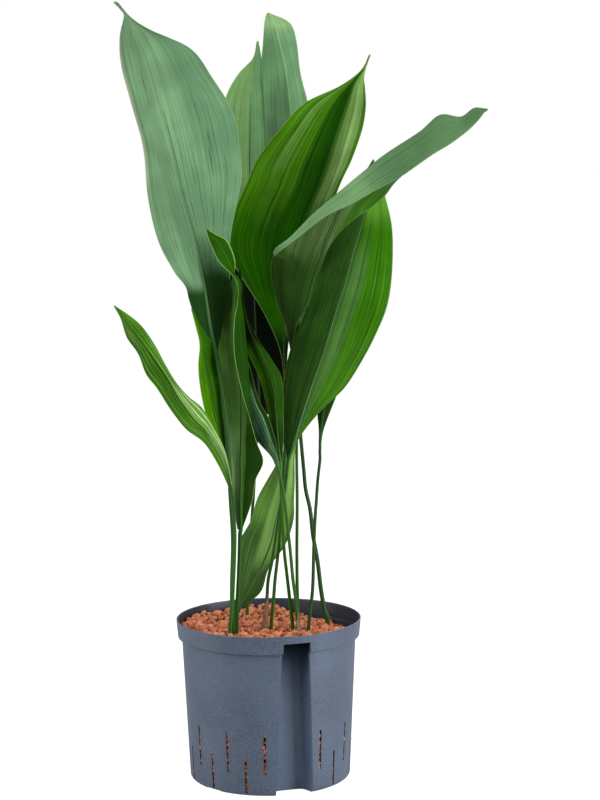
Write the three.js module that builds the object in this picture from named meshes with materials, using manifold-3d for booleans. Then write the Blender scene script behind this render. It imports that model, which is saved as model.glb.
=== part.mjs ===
// A cast iron plant (Aspidistra elatior) in its culture pot, filled with expanded clay granules.
// Millimetres, +Z up. The origin is on the ground under the middle of the pot, and -Y is the front.
// Azimuths on the pot are measured from the front towards +X.
import * as THREE from "three";
import { mergeVertices } from "three/addons/utils/BufferGeometryUtils.js";
import Module from "manifold-3d";

const wasm = await Module();
wasm.setup();

// ---------------------------------------------------------------- driving dimensions
const POT = {
  rimRadius: 110,
  height: 190,
  bandHeight: 21,
  bandFootRadius: 108,
  wallTopRadius: 103.5,
  wallFootRadius: 95.5,
  footFillet: 3,
  wall: 1.6,
  floor: 2.5,
  rimRound: 1,
  stepHeight: 2,
  sides: 60,
};
// The recess for the water gauge runs down the wall and under a strip of the rim band.
const GAUGE = { azimuth: 17, topWidth: 30, footWidth: 44, mouthFlare: 5, depth: 21, stripHeight: 9 };
// The recess's section: each corner's inset from the left (-1) or right (1) edge, and its height over
// the recess's floor. The right side is rounded, and the left side is nearly square.
const GAUGE_SECTION = [
  { edge: 1, inset: 0, rise: 17 },
  { edge: 1, inset: 2, rise: 11 },
  { edge: 1, inset: 5, rise: 4 },
  { edge: 1, inset: 9, rise: 1 },
  { edge: 1, inset: 14, rise: 0 },
  { edge: -1, inset: 7, rise: 0 },
  { edge: -1, inset: 3, rise: 1.5 },
  { edge: -1, inset: 0.5, rise: 5 },
];
// A flat chord of the wall, behind on the right, with a ledge under the rim.
const FLAT = { azimuth: 131, topInset: 7.6, ledgeDrop: 15, halfWidth: 60 };
const SLOT = { count: 25, firstAzimuth: 36.4, lastAzimuth: 356.4, width: 3 };
const SLOT_ROWS = [
  { low: 26, high: 73 },
  { low: 3, high: 44 },
];
const DRAIN_NOTCH = { azimuth: -45, width: 25, height: 3 };
const CLAY = {
  level: 178,
  mound: 3,
  moundRadius: 70,
  granule: 14,
  bump: 4.5,
  peakShift: 3,
  valleyShift: 1.6,
  valleyDip: 1.5,
  gap: 0.4,
  sides: 36,
};
// Cutters and fillers run past the pot by this much.
const BEYOND = 12;
// Each stem stands upright from the rhizome to just over the clay, and leans from there.
const STEM = {
  footRadius: 2.2,
  neckRadius: 1.8,
  ribEndRadius: 0.9,
  sides: 5,
  holeSides: 8,
  footLevel: 133,
  clear: 186,
  leastStep: 8,
};
const STEM_GAP = 0.35;
const BLADE = {
  thickness: 0.8,
  waveHeight: 1.6,
  waves: 3.5,
  rightPhase: 1.1,
  columns: 6,
  foldedColumns: 9,
  extraRows: 4,
  ribShare: 0.4,
  ribSteps: 4,
};
const RHIZOME = {
  radius: 7,
  sides: 6,
  roots: 7,
  rootRadius: 1.4,
  rootSides: 4,
  rootDrop: 26,
  rootReach: 7,
  rootShift: 5,
};

const COLORS = {
  pot: 0x5b6b80,
  clay: 0xc98560,
  leaf: 0x2f6b1e,
  sheath: 0xa98a62,
  rhizome: 0xb9a27c,
};

// Every leaf is a stem, as points from the clay up to the blade, and a blade, as rows from its base
// to its tip. A row holds the left margin, the midrib and the right margin as they face the front.
// A folded leaf has one more point in each row, on the crest of its fold.
const LEAVES = {
  leaf_tall_left: {
    stem: [
      [-42, -50, 179], [-42, -51, 233], [-40, -52, 292], [-42, -53, 339], [-44, -55, 386],
      [-47, -57, 433], [-51, -58, 473], [-55, -58, 500],
    ],
    rows: [
      [[-58, -59, 514], [-57, -59, 512], [-54, -59, 514]],
      [[-78, -45, 545], [-62, -60, 542], [-48, -55, 542]],
      [[-87, -40, 570], [-66, -60, 571], [-41, -54, 573]],
      [[-91, -42, 586], [-68, -61, 587], [-40, -55, 589]],
      [[-104, -45, 604], [-71, -63, 603], [-39, -56, 607]],
      [[-121, -51, 639], [-77, -66, 639], [-38, -57, 643]],
      [[-131, -58, 687], [-91, -73, 696], [-25, -64, 706]],
      [[-135, -66, 743], [-100, -80, 740], [-26, -72, 742]],
      [[-147, -77, 793], [-112, -92, 789], [-33, -83, 781]],
      [[-156, -92, 833], [-123, -104, 832], [-55, -96, 818]],
      [[-156, -108, 862], [-135, -115, 863], [-78, -110, 849]],
      [[-150, -122, 883], [-143, -124, 879], [-120, -121, 868]],
      [[-153, -128, 890], [-149, -130, 888], [-140, -128, 880]],
      [[-160, -136, 897], [-158, -136, 898], [-155, -136, 897]],
    ],
  },
  leaf_back_top: {
    stem: [
      [36, 30, 176], [35, 31, 215], [35, 32, 264], [36, 33, 325], [36, 34, 391],
      [38, 36, 445], [39, 38, 487],
    ],
    rows: [
      [[38, 38, 517], [40, 38, 517], [41, 38, 517]],
      [[23, 45, 565], [40, 44, 565], [56, 49, 564]],
      [[9, 56, 625], [39, 54, 624], [67, 63, 624]],
      [[-1, 72, 696], [38, 68, 696], [71, 79, 696]],
      [[-6, 92, 781], [34, 88, 780], [59, 100, 783]],
      [[-3, 107, 835], [29, 103, 835], [47, 115, 836]],
      [[1, 118, 872], [22, 116, 872], [43, 126, 873]],
      [[3, 129, 897], [17, 128, 893], [38, 136, 895]],
      [[5, 135, 908], [14, 135, 905], [29, 143, 905]],
      [[7, 139, 913], [9, 140, 913], [14, 141, 911]],
    ],
  },
  leaf_back_left: {
    stem: [
      [-26, 42, 177], [-24, 41, 226], [-21, 40, 270], [-19, 39, 300], [-16, 37, 337],
      [-14, 35, 374], [-12, 34, 398],
    ],
    rows: [
      [[-12, 33, 416], [-11, 33, 416], [-10, 33, 416]],
      [[-26, 31, 453], [-8, 28, 453], [18, 31, 452]],
      [[-41, 32, 504], [-10, 28, 507], [24, 32, 504]],
      [[-46, 36, 566], [-12, 29, 566], [24, 34, 565]],
      [[-50, 43, 637], [-14, 34, 637], [14, 37, 637]],
      [[-55, 51, 708], [-16, 40, 708], [9, 44, 708]],
      [[-52, 58, 768], [-15, 47, 767], [4, 49, 767]],
      [[-44, 62, 806], [-14, 52, 805], [2, 53, 805]],
      [[-29, 63, 833], [-11, 55, 832], [0, 55, 832]],
      [[-11, 61, 852], [-7, 58, 853], [-1, 57, 853]],
      [[-6, 59, 872], [-5, 59, 872], [-4, 59, 872]],
    ],
  },
  leaf_centre: {
    stem: [
      [-6, -25, 179], [-2, -24, 215], [0, -23, 239], [5, -21, 262], [11, -18, 297],
      [17, -15, 333], [20, -11, 368], [22, -8, 403],
    ],
    rows: [
      [[21, -4, 432], [23, -4, 432], [24, -4, 432]],
      [[21, 3, 479], [23, 0, 479], [25, 2, 479]],
      [[15, 7, 514], [22, 3, 512], [27, 6, 514]],
      [[-4, 10, 556], [22, 3, 553], [35, 8, 555]],
      [[-27, 6, 594], [27, -6, 593], [47, 2, 584]],
      [[-44, -1, 629], [37, -14, 631], [65, -5, 628]],
      [[-35, -8, 670], [49, -20, 667], [79, -11, 675]],
      [[-21, -13, 701], [63, -24, 698], [90, -17, 704]],
      [[-7, -16, 731], [73, -29, 726], [102, -21, 729]],
      [[20, -23, 765], [85, -34, 761], [114, -27, 763]],
      [[47, -29, 793], [95, -39, 789], [118, -34, 789]],
      [[88, -37, 812], [104, -43, 813], [117, -40, 809]],
      [[112, -45, 829], [115, -47, 830], [116, -44, 824]],
      [[121, -51, 846], [122, -51, 846], [123, -51, 846]],
    ],
  },
  leaf_sweep_right: {
    folded: true,
    ribIndex: 2,
    stem: [
      [70, 3, 176], [67, 4, 196], [63, 5, 220], [59, 8, 256], [54, 10, 286],
      [51, 13, 316], [46, 15, 340], [44, 17, 363], [41, 19, 399], [39, 19, 429],
      [37, 17, 459], [35, 13, 484],
    ],
    rows: [
      [[30, 8, 503], [31, 8, 503], [33, 8, 503], [35, 9, 503]],
      [[25, -3, 532], [30, -5, 532], [35, -5, 531], [40, -3, 531]],
      [[20, -9, 547], [30, -13, 547], [39, -14, 545], [42, -13, 547]],
      [[15, -14, 562], [30, -19, 562], [48, -21, 561], [51, -18, 562]],
      [[8, -22, 591], [32, -27, 591], [57, -26, 591], [60, -20, 591]],
      [[8, -32, 613], [34, -33, 613], [64, -29, 612], [67, -21, 612]],
      [[13, -44, 621], [15, -41, 626], [69, -34, 633], [76, -24, 630]],
      [[37, -59, 639], [32, -48, 642], [77, -39, 653], [89, -27, 647]],
      [[70, -70, 664], [57, -54, 668], [89, -44, 677], [105, -29, 661]],
      [[99, -75, 678], [83, -59, 689], [104, -49, 695], [121, -31, 672]],
      [[126, -78, 693], [110, -65, 711], [124, -55, 710], [139, -38, 687]],
      [[153, -81, 707], [138, -72, 733], [147, -64, 725], [153, -52, 705]],
      [[188, -89, 731], [175, -84, 757], [182, -79, 745], [186, -72, 732]],
      [[208, -94, 743], [197, -94, 775], [204, -90, 761], [208, -84, 748]],
      [[227, -100, 757], [220, -98, 773], [224, -95, 766], [226, -92, 760]],
      [[239, -105, 769], [234, -105, 782], [237, -103, 777], [239, -100, 772]],
      [[246, -110, 779], [247, -110, 781], [248, -110, 781], [249, -110, 780]],
    ],
  },
  leaf_broad_right: {
    stem: [
      [3, -36, 177], [6, -36, 218], [8, -35, 241], [11, -34, 265], [15, -31, 300],
      [19, -28, 335], [23, -25, 364],
    ],
    rows: [
      [[24, -23, 382], [25, -24, 381], [27, -23, 382]],
      [[18, -18, 410], [34, -24, 408], [40, -20, 409]],
      [[17, -16, 442], [44, -24, 440], [65, -16, 439]],
      [[20, -14, 465], [54, -23, 469], [93, -12, 465]],
      [[27, -12, 503], [67, -21, 504], [117, -8, 502]],
      [[38, -12, 531], [76, -18, 532], [132, -4, 531]],
      [[49, -5, 559], [85, -12, 560], [143, 2, 557]],
      [[54, 4, 585], [94, -2, 585], [149, 12, 584]],
      [[63, 16, 615], [104, 12, 619], [152, 25, 618]],
      [[78, 29, 646], [115, 29, 652], [152, 41, 652]],
      [[96, 45, 680], [123, 46, 684], [146, 58, 685]],
      [[114, 60, 705], [129, 64, 710], [139, 72, 710]],
      [[132, 83, 731], [133, 83, 732], [134, 83, 731]],
    ],
  },
  leaf_rolled: {
    folded: true,
    ribIndex: 1,
    stem: [
      [-38, -43, 180], [-35, -44, 232], [-33, -45, 267], [-32, -46, 297],
    ],
    rows: [
      [[-33, -46, 303], [-31, -46, 303], [-30, -46, 303], [-29, -46, 304]],
      [[-33, -44, 335], [-31, -47, 338], [-23, -48, 338], [-18, -45, 335]],
      [[-35, -42, 361], [-30, -48, 362], [-21, -49, 362], [-13, -45, 361]],
      [[-39, -40, 384], [-30, -49, 385], [-16, -51, 385], [-4, -47, 383]],
      [[-44, -38, 407], [-29, -49, 408], [-18, -54, 409], [-12, -55, 408]],
      [[-47, -37, 431], [-29, -48, 432], [-17, -56, 431], [-19, -61, 435]],
      [[-51, -36, 460], [-29, -47, 460], [-19, -58, 461], [-27, -67, 464]],
      [[-56, -38, 495], [-31, -48, 495], [-20, -60, 496], [-34, -71, 497]],
      [[-59, -39, 518], [-31, -49, 518], [-22, -62, 519], [-36, -75, 520]],
      [[-53, -43, 547], [-33, -53, 547], [-24, -64, 548], [-35, -79, 549]],
      [[-44, -41, 569], [-34, -56, 570], [-27, -69, 571], [-31, -81, 569]],
      [[-40, -48, 585], [-32, -67, 591], [-28, -75, 593], [-32, -84, 593]],
      [[-33, -71, 612], [-40, -76, 614], [-46, -80, 614], [-51, -83, 615]],
      [[-41, -75, 637], [-51, -80, 636], [-55, -82, 635], [-60, -84, 634]],
      [[-53, -80, 645], [-59, -82, 644], [-61, -83, 643], [-63, -84, 642]],
      [[-62, -85, 650], [-63, -85, 651], [-64, -85, 651], [-65, -85, 649]],
    ],
  },
  leaf_slim_left: {
    stem: [
      [-44, -43, 179], [-42, -44, 232], [-40, -46, 291], [-41, -47, 338], [-43, -48, 364],
    ],
    rows: [
      [[-46, -49, 383], [-44, -49, 382], [-43, -48, 383]],
      [[-58, -52, 409], [-51, -54, 409], [-44, -49, 409]],
      [[-70, -54, 442], [-60, -58, 443], [-47, -50, 442]],
      [[-75, -55, 468], [-65, -60, 470], [-51, -52, 469]],
      [[-77, -57, 495], [-70, -63, 498], [-55, -49, 497]],
      [[-75, -62, 520], [-72, -66, 522], [-59, -57, 519]],
      [[-79, -66, 541], [-76, -68, 541], [-71, -67, 537]],
      [[-84, -70, 562], [-83, -70, 562], [-82, -70, 561]],
    ],
  },
  leaf_striped_left: {
    stem: [
      [-45, -56, 179], [-41, -57, 234], [-38, -58, 293], [-39, -59, 323], [-40, -60, 340],
    ],
    rows: [
      [[-43, -62, 352], [-42, -62, 355], [-40, -61, 356]],
      [[-55, -70, 381], [-49, -72, 392], [-47, -68, 396]],
      [[-71, -78, 409], [-66, -83, 422], [-61, -75, 429]],
      [[-91, -86, 426], [-81, -90, 439], [-73, -83, 450]],
      [[-107, -93, 448], [-97, -98, 463], [-88, -89, 464]],
      [[-122, -100, 474], [-109, -105, 486], [-102, -96, 482]],
      [[-134, -106, 491], [-122, -110, 507], [-113, -102, 502]],
      [[-142, -111, 514], [-133, -114, 524], [-124, -108, 525]],
      [[-154, -115, 533], [-145, -117, 541], [-137, -114, 545]],
      [[-160, -120, 554], [-155, -120, 555], [-151, -119, 558]],
      [[-167, -123, 568], [-166, -123, 569], [-165, -123, 568]],
    ],
  },
  leaf_low_centre: {
    stem: [
      [-38, 10, 176], [-36, 10, 185],
    ],
    rows: [
      [[-36, 9, 200], [-34, 8, 200], [-31, 9, 201]],
      [[-37, 9, 221], [-23, 6, 219], [-9, 9, 218]],
      [[-37, 9, 250], [-11, 5, 243], [1, 8, 247]],
      [[-33, 9, 280], [3, 4, 276], [21, 7, 275]],
      [[-20, 8, 305], [10, 3, 306], [31, 7, 305]],
      [[-12, 8, 331], [16, 3, 330], [32, 7, 329]],
      [[0, 8, 353], [21, 3, 354], [33, 7, 353]],
      [[11, 7, 372], [25, 3, 375], [33, 6, 377]],
      [[22, 6, 392], [31, 4, 395], [35, 5, 396]],
      [[40, 4, 418], [41, 4, 419], [42, 4, 418]],
    ],
  },
  leaf_back_right: {
    stem: [
      [47, -36, 176], [52, -30, 228], [54, -22, 274], [56, -15, 308], [58, -9, 331],
      [60, -3, 354], [63, 4, 377],
    ],
    rows: [
      [[62, 6, 386], [63, 6, 386], [64, 6, 389]],
      [[62, 10, 412], [65, 10, 414], [68, 13, 412]],
      [[61, 16, 435], [71, 15, 445], [80, 20, 442]],
      [[67, 28, 468], [84, 27, 477], [97, 35, 479]],
      [[80, 47, 514], [104, 46, 526], [121, 53, 523]],
      [[97, 67, 561], [121, 66, 575], [138, 72, 567]],
      [[114, 86, 601], [133, 85, 615], [144, 87, 605]],
      [[142, 102, 644], [143, 102, 645], [144, 102, 644]],
    ],
  },
  leaf_inner_olive: {
    stem: [
      [28, -33, 177], [25, -34, 217], [22, -35, 247], [19, -37, 277], [18, -38, 307],
      [17, -38, 336], [16, -38, 357],
    ],
    rows: [
      [[14, -38, 374], [16, -38, 373], [17, -38, 374]],
      [[6, -28, 408], [13, -35, 406], [20, -32, 408]],
      [[2, -28, 437], [11, -36, 438], [20, -30, 437]],
      [[-2, -30, 457], [9, -37, 462], [20, -29, 464]],
      [[-8, -33, 480], [4, -38, 484], [17, -27, 482]],
      [[-19, -30, 504], [-5, -36, 508], [6, -24, 501]],
      [[-28, -25, 527], [-18, -30, 534], [-13, -21, 531]],
      [[-34, -20, 557], [-25, -23, 564], [-24, -17, 561]],
      [[-30, -10, 603], [-29, -10, 604], [-27, -10, 603]],
    ],
  },
  leaf_inner_folded: {
    stem: [
      [34, -36, 177], [32, -38, 218], [29, -40, 242], [26, -43, 278], [23, -45, 308],
      [20, -46, 337], [17, -46, 358],
    ],
    rows: [
      [[12, -45, 371], [14, -46, 373], [15, -45, 374]],
      [[5, -44, 388], [10, -47, 391], [13, -43, 393]],
      [[-10, -41, 405], [2, -45, 408], [10, -39, 409]],
      [[-19, -39, 421], [-7, -43, 431], [3, -36, 432]],
      [[-26, -38, 442], [-16, -42, 452], [-8, -36, 453]],
      [[-33, -36, 477], [-25, -40, 489], [-18, -34, 490]],
      [[-33, -33, 529], [-32, -33, 530], [-30, -33, 529]],
    ],
  },
};

// The dry scale leaves that still wrap two stems at the clay: turned by their facing angle.
const SHEATHS = {
  sheath_front: { leaf: "leaf_centre", facing: -80, height: 42 },
  sheath_right: { leaf: "leaf_inner_folded", facing: -60, height: 24 },
};
const SHEATH = {
  innerRadius: 2.8,
  thickness: 0.6,
  flare: 0.8,
  low: 160,
  wrap: 110,
  tipWrap: 25,
  rowSteps: 6,
  columnSteps: 8,
};

// The creeping rhizome under the stems: a main run and its branches.
const RHIZOME_RUNS = [
  [[-52, -54, 131], [-40, -48, 130], [-6, -30, 129], [28, -34, 130], [56, -37, 131]],
  [[-38, -46, 130], [-34, 6, 129], [-36, 14, 130], [-24, 50, 131]],
  [[34, -34, 130], [62, -12, 129], [74, 8, 131]],
  [[60, -8, 129], [46, 12, 129], [32, 36, 131]],
];

// ---------------------------------------------------------------- helpers
const rad = THREE.MathUtils.degToRad;
const vec = (p) => new THREE.Vector3(...p);
const AXIS_X = new THREE.Vector3(1, 0, 0);
const AXIS_Z = new THREE.Vector3(0, 0, 1);

// A repeatable random number between 0 and 1 for each seed.
function random(seed) {
  const s = Math.sin(seed * 127.1 + 311.7) * 43758.5453;
  return s - Math.floor(s);
}

// A closed three.js geometry as a manifold-3d solid.
function solid(geometry) {
  const bare = geometry.clone();
  bare.deleteAttribute("normal");
  bare.deleteAttribute("uv");
  const merged = mergeVertices(bare, 1e-4);
  const kept = [];
  const index = merged.index.array;
  for (let i = 0; i < index.length; i += 3) {
    const [a, b, c] = index.slice(i, i + 3);
    if (a !== b && b !== c && c !== a) kept.push(a, b, c);
  }
  return new wasm.Manifold(
    new wasm.Mesh({
      numProp: 3,
      vertProperties: merged.attributes.position.array,
      triVerts: new Uint32Array(kept),
    }),
  );
}

// A manifold-3d solid as a named mesh.
function meshOf(name, made, color, roughness) {
  const { vertProperties, triVerts } = made.getMesh();
  const geometry = new THREE.BufferGeometry();
  geometry.setAttribute("position", new THREE.BufferAttribute(vertProperties, 3));
  geometry.setIndex(new THREE.BufferAttribute(triVerts, 1));
  geometry.computeVertexNormals();
  const mesh = new THREE.Mesh(
    geometry,
    new THREE.MeshStandardMaterial({ color, roughness, metalness: 0 }),
  );
  mesh.name = name;
  return mesh;
}

function indexed(positions, index) {
  const geometry = new THREE.BufferGeometry();
  geometry.setAttribute("position", new THREE.Float32BufferAttribute(positions, 3));
  geometry.setIndex(index);
  return geometry;
}

// A tube of changing radius with a ring at each point, closed at both ends. "side" is any direction
// that the tube never runs along.
function tube(points, radiusAt, sides, side) {
  const last = points.length - 1;
  const positions = [];
  const index = [];
  points.forEach((centre, i) => {
    const tangent = points[Math.min(i + 1, last)].clone().sub(points[Math.max(i - 1, 0)]).normalize();
    const normal = side.clone().cross(tangent).normalize();
    const binormal = tangent.clone().cross(normal);
    for (let k = 0; k < sides; k++) {
      const a = (2 * Math.PI * k) / sides;
      const r = radiusAt(i / last);
      const p = centre
        .clone()
        .addScaledVector(normal, r * Math.cos(a))
        .addScaledVector(binormal, r * Math.sin(a));
      positions.push(p.x, p.y, p.z);
    }
  });
  for (let i = 0; i < last; i++)
    for (let k = 0; k < sides; k++) {
      const a = i * sides + k;
      const b = i * sides + ((k + 1) % sides);
      index.push(a, b, b + sides, a, b + sides, a + sides);
    }
  const end = last * sides;
  for (let k = 1; k < sides - 1; k++) index.push(0, k + 1, k, end, end + k, end + k + 1);
  return indexed(positions, index);
}

// A thin closed sheet around a grid of points: both faces are split into the same triangles.
function sheet(grid, thickness) {
  const rows = grid.length;
  const columns = grid[0].length;
  const normalAt = (i, j) => {
    const along = grid[Math.min(i + 1, rows - 1)][j].clone().sub(grid[Math.max(i - 1, 0)][j]);
    const across = grid[i][Math.min(j + 1, columns - 1)].clone().sub(grid[i][Math.max(j - 1, 0)]);
    return along.cross(across).normalize();
  };
  const positions = [];
  for (const side of [0.5, -0.5])
    for (let i = 0; i < rows; i++)
      for (let j = 0; j < columns; j++) {
        const p = grid[i][j].clone().addScaledVector(normalAt(i, j), side * thickness);
        positions.push(p.x, p.y, p.z);
      }
  const index = [];
  const back = rows * columns;
  const quad = (a, b, c, d) => index.push(a, b, c, a, c, d);
  for (let i = 0; i < rows - 1; i++)
    for (let j = 0; j < columns - 1; j++) {
      const a = i * columns + j;
      const b = a + columns;
      index.push(a, b, b + 1, a, b + 1, a + 1);
      index.push(back + a, back + b + 1, back + b, back + a, back + a + 1, back + b + 1);
    }
  for (let i = 0; i < rows - 1; i++) {
    const a = i * columns;
    const b = a + columns;
    quad(a, back + a, back + b, b);
    quad(b + columns - 1, back + b + columns - 1, back + a + columns - 1, a + columns - 1);
  }
  const last = (rows - 1) * columns;
  for (let j = 0; j < columns - 1; j++) {
    quad(j + 1, back + j + 1, back + j, j);
    quad(last + j, back + last + j, back + last + j + 1, last + j + 1);
  }
  return indexed(positions, index);
}

// ---------------------------------------------------------------- leaves
// The blade as a grid: rails run from the base to the tip, and a curve crosses them at each step.
// Its margins wave gently.
function bladeGrid({ rows, folded }, rowSteps, columnSteps) {
  const rails = rows[0].map(
    (_, k) => new THREE.CatmullRomCurve3(rows.map((row) => vec(row[k])), false, "catmullrom"),
  );
  const grid = [];
  for (let i = 0; i <= rowSteps; i++) {
    const u = i / rowSteps;
    const section = new THREE.CatmullRomCurve3(
      rails.map((rail) => rail.getPoint(u)),
      false,
      "catmullrom",
    );
    const points = Array.from({ length: columnSteps + 1 }, (_, j) => section.getPoint(j / columnSteps));
    grid.push(points);
  }
  const waveHeight = folded ? 0 : BLADE.waveHeight;
  return grid.map((points, i) =>
    points.map((p, j) => {
      const u = i / rowSteps;
      const s = (2 * j) / columnSteps - 1;
      const swell = Math.sin(Math.PI * u) * Math.abs(s) ** 3;
      const wave = Math.sin(2 * Math.PI * BLADE.waves * u + (s > 0 ? BLADE.rightPhase : 0));
      return p.clone().add(new THREE.Vector3(0, waveHeight * swell * wave, 0));
    }),
  );
}

const stemPoints = (leaf) => {
  const [x, y] = leaf.stem[0];
  const leaning = leaf.stem.slice(1).filter(([, , z]) => z > STEM.clear + STEM.leastStep);
  return [[x, y, STEM.footLevel], [x, y, STEM.clear], ...leaning].map(vec);
};

// The stem runs on into the blade as its midrib.
function stemSolid(leaf) {
  const rib = new THREE.CatmullRomCurve3(
    leaf.rows.map((row) => vec(row[leaf.ribIndex ?? 1])),
    false,
    "catmullrom",
  );
  const ribPoints = Array.from({ length: BLADE.ribSteps + 1 }, (_, i) =>
    rib.getPoint((BLADE.ribShare * i) / BLADE.ribSteps),
  );
  const points = [...stemPoints(leaf), ...ribPoints];
  const neck = 1 - BLADE.ribSteps / (points.length - 1);
  const radiusAt = (t) =>
    t < neck
      ? THREE.MathUtils.lerp(STEM.footRadius, STEM.neckRadius, t / neck)
      : THREE.MathUtils.lerp(STEM.neckRadius, STEM.ribEndRadius, (t - neck) / (1 - neck));
  return solid(tube(points, radiusAt, STEM.sides, AXIS_X));
}

function leafSolid(leaf) {
  const rowSteps = leaf.rows.length + BLADE.extraRows;
  const columnSteps = leaf.folded ? BLADE.foldedColumns : BLADE.columns;
  return solid(sheet(bladeGrid(leaf, rowSteps, columnSteps), BLADE.thickness)).add(stemSolid(leaf));
}

// ---------------------------------------------------------------- pot
// A solid turned about Z from (radius, height) points that start and end on the axis.
function turned(profile, sides = POT.sides) {
  const points = profile.map(([r, z]) => new THREE.Vector2(r, z));
  return solid(new THREE.LatheGeometry(points, sides).rotateX(Math.PI / 2));
}

// A solid between two outlines of the same length, one above the other.
function lofted(lowOutline, lowZ, highOutline, highZ) {
  const count = lowOutline.length;
  const positions = [];
  lowOutline.forEach(([x, y]) => positions.push(x, y, lowZ));
  highOutline.forEach(([x, y]) => positions.push(x, y, highZ));
  const cap = THREE.ShapeUtils.triangulateShape(
    lowOutline.map(([x, y]) => new THREE.Vector2(x, y)),
    [],
  );
  const index = [];
  cap.forEach(([a, b, c]) => index.push(a, c, b, count + a, count + b, count + c));
  for (let k = 0; k < count; k++) {
    const next = (k + 1) % count;
    index.push(k, next, count + next, k, count + next, count + k);
  }
  return solid(indexed(positions, index));
}

// Turns a solid whose front is -Y so that its front faces an azimuth.
const faceAzimuth = (made, azimuth) => made.rotate([0, 0, azimuth]);

function box(width, depth, height, x, y, z) {
  return solid(new THREE.BoxGeometry(width, depth, height).translate(x, y, z));
}

const wallRadius = (z) =>
  POT.wallFootRadius + ((POT.wallTopRadius - POT.wallFootRadius) * z) / (POT.height - POT.bandHeight);

// The water-gauge recess, grown outwards by a margin, from the ground up to a height.
function gaugeRecess(margin, low, high) {
  const outlineAt = (z) => {
    const share = z / POT.height;
    const half = THREE.MathUtils.lerp(GAUGE.footWidth, GAUGE.topWidth, share) / 2 + margin;
    const floor = -(wallRadius(z) - GAUGE.depth - margin);
    const out = -(POT.rimRadius + BEYOND);
    const corners = GAUGE_SECTION.map(({ edge, inset, rise }) => [edge * (half - inset), floor - rise]);
    return [[-half, out], [half + GAUGE.mouthFlare, out], ...corners];
  };
  return faceAzimuth(lofted(outlineAt(low), low, outlineAt(high), high), GAUGE.azimuth);
}

// What lies outside the flat chord of the wall, from the ground up to a height.
function flatCut(inset, high) {
  const taper = Math.atan2(
    POT.wallTopRadius - POT.wallFootRadius,
    POT.height - POT.bandHeight,
  );
  const half = FLAT.halfWidth;
  const out = -(POT.rimRadius + BEYOND);
  const planeTop = wallRadius(high) - FLAT.topInset - inset;
  const planeLow = planeTop - (high + BEYOND) * Math.tan(taper);
  const outline = (near) => [
    [-half, out],
    [half, out],
    [half, -near],
    [-half, -near],
  ];
  return faceAzimuth(lofted(outline(planeLow), -BEYOND, outline(planeTop), high), FLAT.azimuth);
}

function potInside(gap, top, sides = POT.sides) {
  const bandLow = POT.height - POT.bandHeight;
  const inner = POT.wall + gap;
  return turned([
    [0, POT.floor + gap],
    [wallRadius(0) - inner - POT.footFillet, POT.floor + gap],
    [wallRadius(POT.floor + POT.footFillet) - inner, POT.floor + gap + POT.footFillet],
    [POT.wallTopRadius - inner, bandLow - POT.stepHeight],
    [POT.bandFootRadius - inner, bandLow + POT.stepHeight],
    [POT.rimRadius - inner, top],
    [0, top],
  ], sides)
    .subtract(gaugeRecess(inner, -1, POT.height - GAUGE.stripHeight + inner))
    .subtract(flatCut(inner, POT.height - FLAT.ledgeDrop + gap));
}

function potSolid() {
  const bandLow = POT.height - POT.bandHeight;
  let made = turned([
    [0, 0],
    [wallRadius(0) - POT.footFillet, 0],
    [wallRadius(POT.footFillet), POT.footFillet],
    [POT.wallTopRadius, bandLow - POT.stepHeight / 2],
    [POT.bandFootRadius, bandLow],
    [POT.rimRadius, POT.height - POT.rimRound],
    [POT.rimRadius - POT.rimRound, POT.height],
    [0, POT.height],
  ])
    .subtract(gaugeRecess(0, -1, POT.height - GAUGE.stripHeight))
    .subtract(flatCut(0, bandLow - POT.stepHeight / 2))
    .subtract(potInside(0, POT.height + 1));
  const pitch = (SLOT.lastAzimuth - SLOT.firstAzimuth) / (SLOT.count - 1);
  for (let i = 0; i < SLOT.count; i++) {
    const { low, high } = SLOT_ROWS[i % 2];
    const cutter = box(SLOT.width, 2 * BEYOND, high - low, 0, -wallRadius(low), (low + high) / 2);
    made = made.subtract(faceAzimuth(cutter, SLOT.firstAzimuth + i * pitch));
  }
  const { width, height, azimuth } = DRAIN_NOTCH;
  const notch = box(width, BEYOND, 2 * height, 0, -wallRadius(0), 0);
  return made.subtract(faceAzimuth(notch, azimuth));
}

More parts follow.
